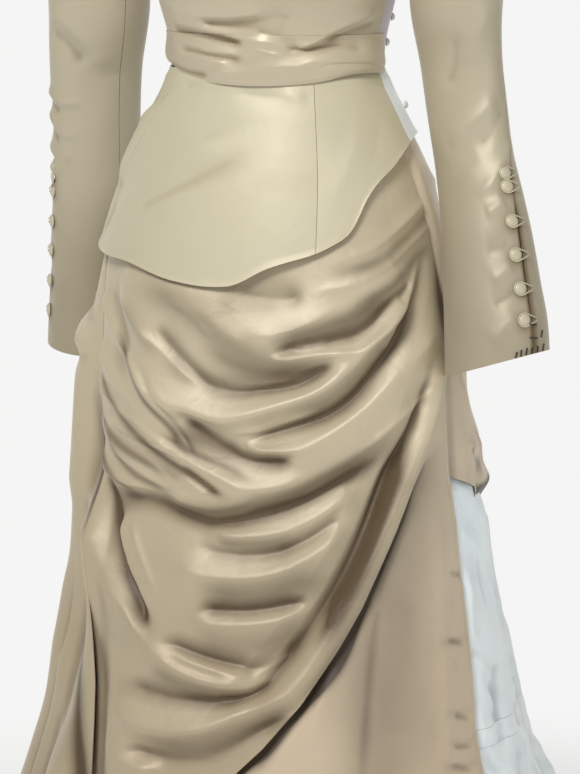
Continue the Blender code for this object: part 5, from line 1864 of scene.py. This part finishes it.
# Folds drawn in to the waist, as seen: height over the form, then places across and up
WAIST_CREASES = Drawn((
    (-0.0035, ((-112, 1061), (-109, 1051), (-93, 1042), (-66, 1037))),
    (0.0035, ((-75, 1043), (-44, 1039), (-12, 1045), (24, 1047), (42, 1052), (106, 1051))),
    (-0.0020, ((6, 1066), (32, 1065), (65, 1069), (90, 1064))),
    (0.0045, ((15, 1062), (35, 1070), (64, 1086), (83, 1094), (105, 1104))),
    (-0.0025, ((49, 1071), (78, 1083), (105, 1095))),
    (0.0040, ((-112, 1107), (-83, 1100), (-50, 1099), (-10, 1104))),
    (-0.0030, ((-83, 1094), (-50, 1093), (-19, 1094), (20, 1100))),
    (0.0040, ((-110, 1094), (-75, 1086), (-30, 1075), (5, 1072))),
    (-0.0030, ((-110, 1085), (-75, 1079), (-30, 1069))),
    (0.0035, ((-110, 1075), (-87, 1070), (-69, 1063), (-39, 1060), (-10, 1062))),
    (-0.0015, ((-100, 1066), (-60, 1057), (-30, 1054))),
    (0.0030, ((-102, 1060), (-75, 1055), (-48, 1050))),
    (-0.0030, ((-20, 1084), (-6, 1084), (6, 1079))),
    (0.0035, ((-93, 1118), (-50, 1122), (10, 1126), (60, 1120), (100, 1112))),
    (-0.0020, ((-90, 1140), (-30, 1146), (40, 1142))),
    (0.0030, ((-100, 1150), (-40, 1160), (30, 1158), (95, 1140))),
), lowest=1.02, highest=1.20, first_angle=-120.0, last_angle=120.0, height_step=0.001, reach=0.02,
    softenings=3)
WAIST_PINCHES = Pinches((
    (-0.0016, 0.0020, 0.0025, ((37, 1041), (49, 1047), (59, 1049), (96, 1049), (121, 1042))),
    (-0.0014, 0.0020, 0.0020, ((-112, 1062), (-108, 1050), (-93, 1042), (-66, 1037))),
    (-0.0012, 0.0020, 0.0020, ((6, 1066), (32, 1065), (65, 1069), (75, 1066))),
    (0.0012, 0.0025, 0.0020, ((-26, 1066), (-4, 1060), (6, 1058))),
))


def bodice_height(rise: np.ndarray) -> np.ndarray:
    """Return the heights of the bodice's front and back panels."""
    return WAIST + 0.5 * SEAM_GAP + (YOKE_TOP - WAIST - 0.5 * SEAM_GAP) * rise


@dataclass
class BodiceFront(Cloth):
    """The front of the bodice, from its top edge to the waist."""

    finish: Satin = WAIST_GOLD
    held: Hold = Hold.STRETCHED
    fold_top: float = 1.195
    fold_run: float = 0.03

    def place(self, across: np.ndarray, down: np.ndarray) -> np.ndarray:
        """Return the front's outer face.

        Args:
            across: shares of the way across, from 0 to 1.
            down: shares of the way down.

        Returns:
            Points, their axes last.
        """
        share = 2 * across - 1
        rise = 1 - down
        height = bodice_height(rise)
        limit = SIDE_SEAM - YOKE.cut_in(height) - FORM.seam_spare(height)
        angle = limit * share
        folds = WAIST_CREASES.relief(angle, height)
        folds = folds * smooth_step((self.fold_top - height) / self.fold_run)
        section = FORM.place(angle, height, BODICE_OUT + np.maximum(folds, LEAST_FOLD))
        top = YOKE.top_edge(np.abs(share), -1, YOKE.front_neck)
        top[..., 0] *= np.sign(share)
        return YOKE.roll_over(section, top, rise)


@dataclass
class BodiceBack(Cloth):
    """One back panel of the bodice; hand is 1 for the wearer's left, -1 for the right."""

    finish: Satin = PALE
    tone: Tone = Tone.PALE
    held: Hold = Hold.STRETCHED
    hand: float = 1.0

    def place(self, across: np.ndarray, down: np.ndarray) -> np.ndarray:
        """Return the panel's outer face.

        Args:
            across: shares of the way across, from 0 to 1.
            down: shares of the way down.

        Returns:
            Points, their axes last.
        """
        rise = 1 - down
        height = bodice_height(rise)
        spare = FORM.seam_spare(height)
        centre_share = across if self.hand > 0 else 1 - across
        edge = BACK_SEAM + YOKE.cut_in(height) * YOKE.back_share + spare
        angle = edge + (180.0 - spare - edge) * centre_share
        section = FORM.place(angle, height, BODICE_OUT + 0 * height)
        top = YOKE.top_edge(1 - centre_share, 1, YOKE.back_neck)
        top[..., 0] = np.maximum(top[..., 0], 0.5 * SEAM_GAP)
        points = YOKE.roll_over(section, top, rise)
        points[..., 0] *= self.hand
        return points


@dataclass
class BodiceSide(Cloth):
    """A side panel of the bodice, of lilac satin."""

    finish: Satin = LILAC
    tone: Tone = Tone.LILAC
    held: Hold = Hold.STRETCHED
    hand: float = 1.0

    def place(self, across: np.ndarray, down: np.ndarray) -> np.ndarray:
        """Return the panel's outer face.

        Args:
            across: shares of the way across, from 0 to 1.
            down: shares of the way down.

        Returns:
            Points, their axes last.
        """
        height = UNDERARM + (WAIST + 0.5 * SEAM_GAP - UNDERARM) * down
        spare = FORM.seam_spare(height)
        turn = across if self.hand > 0 else 1 - across
        angle = SIDE_SEAM + spare + (BACK_SEAM - SIDE_SEAM - 2 * spare) * turn
        return FORM.place(angle * self.hand, height, BODICE_OUT + 0 * height)


@dataclass
class Sash(Cloth):
    """The pleated swathe round the waist."""

    held: Hold = Hold.FOLDED
    finish: Satin = WAIST_GOLD
    foot: tuple = (
        (-98, 1.062), (-54, 1.052), (-33, 1.042), (-12, 1.037), (20, 1.036), (45, 1.041),
        (57, 1.046),
        (98, 1.046),
    )
    top: float = 1.088
    start: float = -98.0
    end: float = 92.0
    profile: tuple = (
        (0.00, 0.0030), (0.15, 0.0042), (0.40, 0.0062), (0.65, 0.0082), (0.82, 0.0086),
        (0.93, 0.0080), (1.00, 0.0066),
    )
    over_bodice: float = 0.0014

    def place(self, across: np.ndarray, down: np.ndarray) -> np.ndarray:
        """Return the sash's outer face.

        Args:
            across: shares of the way across, from 0 to 1.
            down: shares of the way down.

        Returns:
            Points, their axes last.
        """
        angle = self.start + (self.end - self.start) * across
        foot = curve_through(angle, self.foot)[..., 0]
        height = self.top + (foot - self.top) * down
        creased = WAIST_CREASES.relief(angle, height)
        out = curve_through(down, self.profile)[..., 0] + creased
        out = out + WAIST_PINCHES.relief(angle, height)
        least = BODICE_OUT + np.maximum(creased, LEAST_FOLD) + self.over_bodice
        return FORM.place(angle, height, np.maximum(out, least))


def build_bodice() -> None:
    """Make the bodice above the waist and its sash."""
    BodiceFront("bodice_front", 200, 200, flat=(0.47, 0.45), area=0.148).build()
    for word, hand in (("left", 1.0), ("right", -1.0)):
        BodiceSide("bodice_side_" + word, 30, 60, hand=hand, flat=(0.066, 0.21),
                   area=0.0125).build()
        BodiceBack("bodice_back_" + word, 60, 90, hand=hand, flat=(0.21, 0.43),
                   area=0.060).build()
    Sash("waist_sash", 300, 60, flat=(0.39, 0.053), area=0.0198).build()


ARMHOLE_STEPS = 9
UNDERARM_STEPS = 5


@dataclass(frozen=True)
class Arm:
    """One sleeve's shape.

    Each station holds a height, the distance of the middle from the centre plane, its y, and
    the half widths along and across the long axis.
    """

    hand: float
    stations: tuple
    hem_tilt: float
    long_axis: float = 65.0
    cap_share: float = 0.2
    mean_width: float = 0.06
    clearance: float = 0.0027
    tilt_start: float = 0.7
    tilt_front: float = 0.5
    lean_step: float = 0.004
    cap_pull: tuple = (0.85, 0.5, 0.15)
    seams: tuple = (
        (0.00, -58, 96), (0.40, -58, 88), (0.575, -58, 72), (0.65, -58, 62), (0.72, -58, 60),
        (0.855, -58, 61), (1.00, -58, 63),
    )

    def inner_seam(self, way: np.ndarray) -> np.ndarray:
        """Return the angle of the inner seam."""
        return curve_through(way, self.seams)[..., 0]

    def outer_seam(self, way: np.ndarray) -> np.ndarray:
        """Return the angle of the outer seam."""
        return curve_through(way, self.seams)[..., 1]

    @staticmethod
    def armhole(turn: np.ndarray) -> np.ndarray:
        """Return points of the left armhole's edge.

        Args:
            turn: angles round the armhole: 0 faces the front and 90 the shoulder.

        Returns:
            Points, their axes last.
        """
        heights = np.linspace(YOKE_TOP, UNDERARM, ARMHOLE_STEPS)
        rise = (heights - WAIST - 0.5 * SEAM_GAP) / (YOKE_TOP - WAIST - 0.5 * SEAM_GAP)
        front = BodiceFront("front", 1, 1).place(np.ones(ARMHOLE_STEPS), 1 - rise)
        back = BodiceBack("back", 1, 1).place(np.zeros(ARMHOLE_STEPS), 1 - rise)
        floor_angle = np.linspace(SIDE_SEAM, BACK_SEAM, UNDERARM_STEPS)
        under = FORM.place(floor_angle, np.full(UNDERARM_STEPS, UNDERARM),
                           np.full(UNDERARM_STEPS, BODICE_OUT))
        ring = np.concatenate([front, under[1:-1], back[::-1]])
        middle = ring.mean(axis=0)
        turns = np.degrees(np.arctan2(ring[:, 2] - middle[2], -(ring[:, 1] - middle[1]))) % 360.0
        order = np.argsort(turns)
        turns = turns[order]
        ring = ring[order]
        turns = np.concatenate([turns - 360, turns, turns + 360])
        ring = np.concatenate([ring, ring, ring])
        turn = np.asarray(turn, float) % 360.0
        return np.stack([np.interp(turn, turns, ring[:, axis]) for axis in range(3)], axis=-1)

    def point(self, way: np.ndarray, turn: np.ndarray, out: np.ndarray | float = 0.0) -> np.ndarray:
        """Return points of the sleeve, as a left one.

        Args:
            way: shares of the way down the sleeve.
            turn: angles round it, in degrees.
            out: how far each point stands out from it.

        Returns:
            Points, their axes last.
        """
        table = np.array(self.stations[::-1], float)
        height = table[-1, 0] + (table[0, 0] - table[-1, 0]) * np.clip(way, 0, 1)
        columns = curve_through(height, table)
        step = self.lean_step
        above = curve_through(height + step, table)
        below = curve_through(height - step, table)
        rise = np.minimum(height + step, table[-1, 0]) - np.maximum(height - step, table[0, 0])
        lean = (below[..., :2] - above[..., :2]) / rise[..., None]
        axis = math.radians(self.long_axis)
        bearing = np.radians(turn)
        along = (columns[..., 2] + out) * np.cos(bearing - axis)
        beside = (columns[..., 3] + out) * np.sin(bearing - axis)
        forward = along * math.cos(axis) - beside * math.sin(axis)
        outward = along * math.sin(axis) + beside * math.cos(axis)
        tip = math.tan(math.radians(self.hem_tilt))
        tip = tip * smooth_step((way - self.tilt_start) / (1 - self.tilt_start))
        lift = outward * (lean[..., 0] + tip) - forward * lean[..., 1]
        lift = lift - self.tilt_front * forward * tip
        middle = np.stack([columns[..., 0], columns[..., 1], height - SHOULDER_HEIGHT], axis=-1)
        return middle + np.stack([outward, -forward, lift], axis=-1)


LEFT_ARM = Arm(1.0, (
    (1.235, 0.220, 0.004, 0.060, 0.048),
    (1.180, 0.210, 0.004, 0.058, 0.045),
    (1.124, 0.204, 0.006, 0.0565, 0.041),
    (1.060, 0.208, 0.012, 0.052, 0.033),
    (1.010, 0.216, 0.010, 0.050, 0.0325),
    (0.953, 0.229, 0.001, 0.048, 0.033),
    (0.907, 0.242, -0.009, 0.050, 0.038),
    (0.877, 0.250, -0.017, 0.052, 0.042),
    (0.816, 0.262, -0.028, 0.054, 0.048),
    (0.770, 0.270, -0.036, 0.056, 0.052),
    (0.751, 0.272, -0.039, 0.056, 0.053),
), 12.0)
RIGHT_ARM = Arm(-1.0, (
    (1.235, 0.226, 0.004, 0.060, 0.048),
    (1.180, 0.223, 0.005, 0.058, 0.045),
    (1.117, 0.222, 0.010, 0.0565, 0.041),
    (1.049, 0.235, 0.025, 0.052, 0.033),
    (0.998, 0.241, 0.035, 0.050, 0.0325),
    (0.930, 0.246, 0.045, 0.050, 0.033),
    (0.877, 0.252, 0.055, 0.051, 0.039),
    (0.842, 0.257, 0.062, 0.052, 0.042),
    (0.771, 0.264, 0.072, 0.054, 0.048),
    (0.722, 0.269, 0.080, 0.056, 0.053),
), 0.0)


# Sleeve creases: depth, width above, width below, then turn round the sleeve and height
SLEEVE_METRES_PER_DEGREE = 0.00087
LEFT_WRINKLES = Pinches((
    (0.0030, 0.012, 0.010, ((60, 1020), (30, 1000), (0, 985), (-30, 975))),
    (-0.0025, 0.012, 0.012, ((80, 1010), (40, 975), (10, 960))),
    (0.0025, 0.010, 0.008, ((95, 975), (60, 950), (30, 925), (0, 912))),
    (0.0020, 0.008, 0.008, ((46, 904), (32, 898), (14, 893))),
    (-0.0020, 0.010, 0.010, ((46, 866), (32, 862), (10, 860))),
    (0.0020, 0.008, 0.008, ((46, 844), (32, 836), (16, 830))),
    (-0.0020, 0.010, 0.008, ((46, 816), (32, 811), (16, 806))),
    (0.0020, 0.009, 0.009, ((46, 790), (30, 782), (12, 770))),
    (-0.0025, 0.012, 0.012, ((10, 1100), (0, 1060), (-20, 1030))),
    (0.0025, 0.014, 0.014, ((60, 1120), (35, 1090), (20, 1050))),
), seen=False, metres_per_degree=SLEEVE_METRES_PER_DEGREE)
RIGHT_WRINKLES = Pinches((
    (0.0040, 0.014, 0.012, ((60, 1110), (20, 1100), (-20, 1075), (-45, 1040))),
    (-0.0040, 0.014, 0.014, ((50, 1085), (10, 1075), (-15, 1050))),
    (0.0035, 0.006, 0.005, ((75, 1020), (45, 1012), (15, 1008), (-15, 1012))),
    (-0.0030, 0.006, 0.006, ((75, 1008), (45, 1000), (20, 996))),
    (0.0035, 0.006, 0.005, ((80, 992), (50, 985), (20, 972), (-5, 970))),
    (-0.0030, 0.006, 0.006, ((75, 980), (45, 968), (25, 962))),
    (0.0035, 0.006, 0.005, ((80, 962), (55, 950), (25, 945), (0, 950))),
    (-0.0035, 0.006, 0.006, ((80, 948), (60, 938), (40, 935))),
    (0.0040, 0.006, 0.005, ((82, 935), (60, 926), (38, 930), (15, 938))),
    (-0.0035, 0.006, 0.006, ((82, 920), (62, 915), (42, 922))),
    (0.0030, 0.008, 0.006, ((82, 905), (60, 905), (40, 915))),
    (0.0020, 0.012, 0.012, ((50, 860), (20, 840), (0, 790))),
    (-0.0020, 0.012, 0.012, ((70, 830), (50, 790), (40, 760))),
), seen=False, metres_per_degree=SLEEVE_METRES_PER_DEGREE)


@dataclass
class SleevePiece(Cloth):
    """The under or the upper piece of a sleeve."""

    arm: Arm = LEFT_ARM
    is_upper: bool = False
    finish: Satin = SLEEVE_GOLD
    held: Hold = Hold.STRETCHED
    cuff_shade: float = 0.30
    seam_shade: float = 0.9
    seam_shade_width: float = 0.020
    slit: float = 1.2
    slit_top: float = 0.68
    slit_run: float = 0.03
    shade_start: float = 0.45
    shade_run: float = 0.4

    def place(self, across: np.ndarray, down: np.ndarray) -> np.ndarray:
        """Return the piece's outer face.

        Args:
            across: shares of the way across, from 0 to 1.
            down: shares of the way down.

        Returns:
            Points, their axes last.
        """
        arm = self.arm
        way = np.clip((down - arm.cap_share) / (1 - arm.cap_share), 0, 1)
        across = across if arm.hand > 0 else 1 - across
        first = arm.outer_seam(way) if self.is_upper else arm.inner_seam(way)
        last = arm.inner_seam(way) + 360 if self.is_upper else arm.outer_seam(way)
        spare = np.degrees(SEAM_GAP / arm.mean_width)
        open_seam = self.slit * smooth_step((way - self.slit_top) / self.slit_run)
        turn = first + spare + (last - first - 2 * spare) * across
        at_outer = across if not self.is_upper else 1 - across
        opened = (2 * at_outer - 1) * open_seam * (1 if self.is_upper else -1)
        turn = turn + np.where(at_outer > 0.5, opened, 0)
        lower = smooth_step((way - self.shade_start) / self.shade_run)
        by_seam = self.seam_shade * np.exp(-((1 - at_outer) / self.seam_shade_width) ** 2)
        self.shaded = lower * (self.cuff_shade + by_seam)
        wrinkles = LEFT_WRINKLES if arm.hand > 0 else RIGHT_WRINKLES
        facing = (turn + 180.0) % 360.0 - 180.0
        high = arm.stations[0][0] + (arm.stations[-1][0] - arm.stations[0][0]) * way
        tube = arm.point(way, turn, wrinkles.relief(facing, high))
        cap = arm.armhole(turn)
        cap[..., 0] += arm.clearance
        knee = cap + (tube - cap) * np.array(arm.cap_pull)
        share = np.clip(down / arm.cap_share, 0, 1)[..., None]
        rounded = cap * (1 - share) ** 2 + 2 * knee * share * (1 - share) + tube * share ** 2
        points = np.where(share < 1, rounded, tube)
        points[..., 0] *= arm.hand
        return points


BUTTON_SHADE_DROP = 0.003
BUTTON_SHADE_REACH = 0.0085
BUTTON_SHADE = 0.9


def build_sleeves() -> None:
    """Make both sleeves."""
    for word, arm in (("left", LEFT_ARM), ("right", RIGHT_ARM)):
        spots = []
        for name in sorted(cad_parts):
            if name.startswith("cuff_button_" + word):
                low, high = (np.array(corner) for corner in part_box(name))
                # Each button casts a painted shadow, centred a little below its middle.
                middle = tuple(0.5 * (low + high) - (0, 0, BUTTON_SHADE_DROP))
                spots.append((middle, BUTTON_SHADE_REACH, BUTTON_SHADE))
        spots = tuple(spots)
        SleevePiece("sleeve_%s_under" % word, 70, 200, arm=arm, flat=(0.18, 0.72), area=0.081,
                    spots=spots).build()
        SleevePiece("sleeve_%s_upper" % word, 100, 200, arm=arm, is_upper=True, flat=(0.255, 0.72),
                    area=0.117, spots=spots).build()


def finish_piece(name: str, mesh_work: bmesh.types.BMesh, finish: Satin) -> bpy.types.Object:
    """Make an object of a bmesh, smooth and in its finish.

    Args:
        name: the piece's name.
        mesh_work: its mesh, which is freed.
        finish: its satin or thread.

    Returns:
        The new object, riding on the gown.
    """
    mesh = bpy.data.meshes.new(name)
    mesh_work.to_mesh(mesh)
    mesh_work.free()
    mesh.shade_smooth()
    mesh.materials.append(MATERIALS.get(finish))
    piece = bpy.data.objects.new(name, mesh)
    bpy.context.scene.collection.objects.link(piece)
    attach(piece, "root")
    return piece


def add_tube(work: bmesh.types.BMesh, path: list, radius: float, sides: int = 6) -> None:
    """Add a closed thread along a path.

    Args:
        work: the mesh to add to.
        path: the points along the thread's middle.
        radius: half the thread's thickness.
        sides: how many sides it has.
    """
    ring = None
    for index, point in enumerate(path):
        ahead = path[min(index + 1, len(path) - 1)] - path[max(index - 1, 0)]
        turn = Vector((0, 0, 1)).rotation_difference(ahead.normalized())
        fresh = bmesh.ops.create_circle(work, cap_ends=index in (0, len(path) - 1), segments=sides,
                                        radius=radius)
        for vertex in fresh["verts"]:
            vertex.co = turn @ vertex.co + point
        loop = list({edge for vertex in fresh["verts"] for edge in vertex.link_edges})
        if ring is not None:
            bmesh.ops.bridge_loops(work, edges=ring + loop)
        ring = loop


@dataclass
class Buttons:
    """The covered buttons, the cord loops of the cuffs and the stitches at the cuff's corner.

    Each stitch runs from one share of the way down the sleeve and one turn to another.
    """

    steps: int = 24
    loop_points: int = 12
    cord: float = 0.0008
    loop_spread: float = 0.0030
    loop_length: float = 0.0075
    dome: tuple = (
        (0.00, 1.00), (0.30, 0.97), (0.58, 0.85), (0.80, 0.62), (0.94, 0.34), (1.00, 0.10),
        (0.93, 0.0), (0.60, 0.0), (0.00, 0.0),
    )
    loop_pinch: float = 0.4
    loop_start: float = 0.30
    loop_turn: float = 1.40
    cord_seat: float = 1.2
    arm_aside: float = 0.26
    right_arm_back: float = 0.05
    body_reach: float = 0.19
    thread: float = 0.0008
    thread_out: float = 0.0016
    thread_points: int = 4
    stitches: tuple = (
        (0.999, 39, 0.987, 41), (0.999, 45, 0.985, 46), (0.999, 51, 0.984, 53),
        (0.999, 58, 0.986, 60),
        (0.999, 67, 0.985, 68), (0.999, 76, 0.984, 79), (0.966, 57, 0.970, 68),
        (0.942, 58, 0.946, 67),
        (0.970, 74, 0.958, 77),
    )

    def stand(self, name: str) -> tuple:
        """Measure a CAD button.

        Args:
            name: its node.

        Returns:
            Its middle, its outward direction, its radius, and how far its top and its foot
            lie out from its middle.
        """
        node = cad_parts[name]
        spots = np.array([vertex.co[:] for vertex in node.data.vertices])
        middle = 0.5 * (spots.min(axis=0) + spots.max(axis=0))
        _, _, axes = np.linalg.svd(spots - spots.mean(axis=0), full_matrices=False)
        away = axes[2]
        arm_middle = np.array([math.copysign(self.arm_aside, middle[0]),
                               0.0 if middle[0] > 0 else self.right_arm_back, middle[2]])
        if abs(middle[0]) < self.body_reach:
            arm_middle = np.array([0.0, 0.0, middle[2]])
        if np.dot(away, middle - arm_middle) < 0:
            away = -away
        along = (spots - middle) @ away
        aside = np.linalg.norm((spots - middle) - along[:, None] * away, axis=1)
        return (Vector(middle), Vector(away), float(aside.max()), float(along.max()),
                float(along.min()))

    def cover(self, name: str, finish: Satin) -> None:
        """Make one domed, cloth-covered button over its CAD node.

        Args:
            name: the node.
            finish: the cover's satin.
        """
        middle, away, radius, top, foot = self.stand(name)
        work = bmesh.new()
        chain = [work.verts.new((across * radius, 0.0, foot + up * (top - foot)))
                 for across, up in self.dome]
        edges = [work.edges.new(pair) for pair in zip(chain[:-1], chain[1:])]
        bmesh.ops.spin(work, geom=chain + edges, angle=2 * math.pi, steps=self.steps,
                       use_merge=True, axis=(0, 0, 1), cent=(0, 0, 0))
        bmesh.ops.remove_doubles(work, verts=work.verts, dist=MERGE)
        turn = Vector((0, 0, 1)).rotation_difference(away)
        for vertex in work.verts:
            vertex.co = turn @ vertex.co + middle
        bmesh.ops.recalc_face_normals(work, faces=work.faces)
        piece = finish_piece(name + "_cover", work, finish)
        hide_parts(name)

    def loop(self, name: str) -> None:
        """Make the cord loop that holds one cuff button.

        Args:
            name: the button's node.
        """
        middle, away, radius, _, foot = self.stand(name)
        down = Vector((0, 0, -1))
        down = (down - away * down.dot(away)).normalized()
        back = away.cross(down).normalized()
        if back.y < 0:
            back = -back
        base = middle + away * (foot + self.cord_seat * self.cord)
        tie = base + back * (radius + self.loop_length)
        pinch = down * self.loop_pinch * self.loop_spread
        path = [tie - pinch]
        for index in range(self.loop_points + 1):
            turn = math.pi * (self.loop_start + self.loop_turn * index / self.loop_points)
            round_button = back * math.cos(turn) - down * math.sin(turn)
            path.append(base + round_button * (radius + 0.5 * self.cord))
        path.append(tie + pinch)
        work = bmesh.new()
        add_tube(work, path, self.cord)
        bmesh.ops.recalc_face_normals(work, faces=work.faces)
        finish_piece(name + "_loop", work, GOLD)

    def stitch(self) -> None:
        """Make the dark stitches at the left cuff's corner."""
        work = bmesh.new()
        for first_way, first_turn, last_way, last_turn in self.stitches:
            way = np.linspace(first_way, last_way, self.thread_points)
            turn = np.linspace(first_turn, last_turn, self.thread_points)
            places = LEFT_ARM.point(way, turn, self.thread_out)
            add_tube(work, [Vector(place) for place in places], self.thread)
        bmesh.ops.recalc_face_normals(work, faces=work.faces)
        finish_piece("cuff_left_stitches", work, THREAD)

    def build(self) -> None:
        """Cover every button, tie the cuffs' loops and sew the corner's stitches."""
        self.stitch()
        for name in sorted(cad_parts):
            if name.startswith("cuff_button"):
                self.cover(name, GOLD)
                self.loop(name)
            elif name.startswith("seam_button"):
                self.cover(name, PALE)
        log.info("buttons: covered, with their loops")


@dataclass(frozen=True)
class Studio:
    """The floor, the light and the camera.

    Each lamp holds its name, how far it lies towards the camera, to the camera's right and up
    from what it is aimed at, its size and its power.
    """

    picture_width: float = 580.0
    metres_per_pixel: float = 0.00108
    sensor: float = 36.0
    pale: tuple = (0.90, 0.90, 0.89)
    sky: tuple = (0.915, 0.915, 0.910)
    floor_radius: float = 9.0
    glow: float = 0.50
    glow_start: float = 0.3
    glow_full: float = 1.3
    sheet_width: float = 9.0
    sheet_height: float = 5.0
    sheet_behind: float = 3.2
    floor_segments: int = 96
    sheet_segments: int = 4
    paper_roughness: float = 0.9
    lamp_aim: float = 0.75
    lamps: tuple = (
        ("key", 2.3, -1.0, 2.6, 1.3, 86.0),
        ("fill", 2.8, 1.6, 0.6, 2.0, 12.0),
    )
    air: tuple = (1.0, 0.98, 0.95, 1.0)
    air_strength: float = 0.30

    def build_camera(self) -> None:
        """Set the camera at the photograph's angle."""
        shoulders = Vector((0, 0, SHOULDER_HEIGHT))
        target = VIEW.target() - shoulders
        eye = VIEW.eye() - shoulders
        data = bpy.data.cameras.new("camera")
        data.sensor_fit = "HORIZONTAL"
        data.sensor_width = self.sensor
        data.lens = self.sensor * VIEW.distance / (self.metres_per_pixel * self.picture_width)
        camera = bpy.data.objects.new("camera", data)
        camera.location = eye
        camera.rotation_euler = (target - eye).to_track_quat("-Z", "Y").to_euler()
        bpy.context.scene.collection.objects.link(camera)
        bpy.context.scene.camera = camera

    def build_floor(self) -> None:
        """Make a pale round floor that passes into the pale sky."""
        floor_mesh = bmesh.new()
        bmesh.ops.create_circle(floor_mesh, cap_ends=True, segments=self.floor_segments,
                                radius=self.floor_radius)
        bmesh.ops.translate(floor_mesh, verts=floor_mesh.verts, vec=(0, 0, -SHOULDER_HEIGHT))
        bmesh.ops.recalc_face_normals(floor_mesh, faces=floor_mesh.faces)
        self.stage_piece("studio_floor", floor_mesh, self.paper())

    def build_backdrop(self) -> None:
        """Make a tall glowing sheet behind the gown, out of the camera's sight."""
        near, right = VIEW.directions()
        sheet = bmesh.new()
        bmesh.ops.create_grid(sheet, x_segments=self.sheet_segments, y_segments=self.sheet_segments,
                              size=0.5)
        for vertex in sheet.verts:
            place = right * (vertex.co.x * self.sheet_width) - near * self.sheet_behind
            rise = (vertex.co.y + 0.5) * self.sheet_height
            vertex.co = (place.x, place.y, rise - SHOULDER_HEIGHT)
        glow = bpy.data.materials.new("glowing sheet")
        glow.use_nodes = True
        shader = glow.node_tree.nodes["Principled BSDF"]
        set_inputs(shader, {"Base Color": (*self.pale, 1.0), "Emission Color": (1.0, 1.0, 1.0, 1.0),
                            "Emission Strength": self.glow})
        self.stage_piece("studio_sheet", sheet, glow).visible_camera = False

    @staticmethod
    def stage_piece(name: str, work: bmesh.types.BMesh,
                    finish: bpy.types.Material) -> bpy.types.Object:
        """Make a piece of the studio.

        Args:
            name: its name.
            work: its mesh, which is freed.
            finish: its material.

        Returns:
            The new object.
        """
        mesh = bpy.data.meshes.new(name)
        work.to_mesh(mesh)
        work.free()
        mesh.materials.append(finish)
        piece = bpy.data.objects.new(name, mesh)
        bpy.context.scene.collection.objects.link(piece)
        return piece

    def paper(self) -> bpy.types.Material:
        """Make pale paper that passes into an even glow away from the gown.

        Returns:
            The material.
        """
        made = bpy.data.materials.new("pale studio paper")
        made.use_nodes = True
        tree = made.node_tree
        shader = tree.nodes["Principled BSDF"]
        set_inputs(shader, {"Roughness": self.paper_roughness, "Specular IOR Level": 0.0,
                            "Emission Color": (*self.sky, 1.0)})
        place = add_node(tree, "TexCoord")
        flat = add_node(tree, "VectorMath")
        flat.operation = "MULTIPLY"
        flat.inputs[1].default_value = (1.0, 1.0, 0.0)
        tree.links.new(place.outputs["Object"], flat.inputs[0])
        away = add_node(tree, "VectorMath")
        away.operation = "LENGTH"
        tree.links.new(flat.outputs["Vector"], away.inputs[0])
        glow = add_node(tree, "MapRange")
        glow.interpolation_type = "SMOOTHSTEP"
        set_inputs(glow, {"From Min": self.glow_start, "From Max": self.glow_full})
        tree.links.new(away.outputs["Value"], glow.inputs["Value"])
        tree.links.new(glow.outputs["Result"], shader.inputs["Emission Strength"])
        tone = add_mix(tree, self.pale, (0.0, 0.0, 0.0))
        tree.links.new(glow.outputs["Result"], tone.inputs["Factor"])
        tree.links.new(tone.outputs["Result"], shader.inputs["Base Color"])
        return made

    def build_lights(self) -> None:
        """Set soft lamps and a pale sky."""
        near, right = VIEW.directions()
        middle = Vector((0, 0, self.lamp_aim - SHOULDER_HEIGHT))
        for name, to_camera, to_right, rise, size, power in self.lamps:
            place = near * to_camera + right * to_right + Vector((0, 0, rise))
            data = bpy.data.lights.new(name, "AREA")
            data.shape = "DISK"
            data.size = size
            data.energy = power
            lamp = bpy.data.objects.new(name, data)
            lamp.location = middle + place
            lamp.rotation_euler = (-place).to_track_quat("-Z", "Y").to_euler()
            bpy.context.scene.collection.objects.link(lamp)
        world = bpy.data.worlds.new("pale sky")
        world.use_nodes = True
        tree = world.node_tree
        glow = tree.nodes["Background"]
        set_inputs(glow, {"Color": self.air, "Strength": self.air_strength})
        seen = add_node(tree, "Background", {"Color": (*self.sky, 1.0)})
        rays = add_node(tree, "LightPath")
        either = add_node(tree, "MixShader")
        tree.links.new(rays.outputs["Is Camera Ray"], either.inputs["Fac"])
        tree.links.new(glow.outputs["Background"], either.inputs[1])
        tree.links.new(seen.outputs["Background"], either.inputs[2])
        tree.links.new(either.outputs["Shader"], tree.nodes["World Output"].inputs["Surface"])
        bpy.context.scene.world = world
        bpy.context.scene.view_settings.view_transform = "Standard"

    def build(self) -> None:
        """Make the whole studio."""
        self.build_floor()
        self.build_backdrop()
        self.build_lights()
        self.build_camera()


def main() -> None:
    """Build the gown's looks in order."""
    logging.basicConfig(level=logging.INFO, format="%(message)s")
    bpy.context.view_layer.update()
    Studio().build()
    build_bodice()
    build_basque()
    build_skirt()
    build_sleeves()
    Buttons().build()


if __name__ == "__main__":
    main()
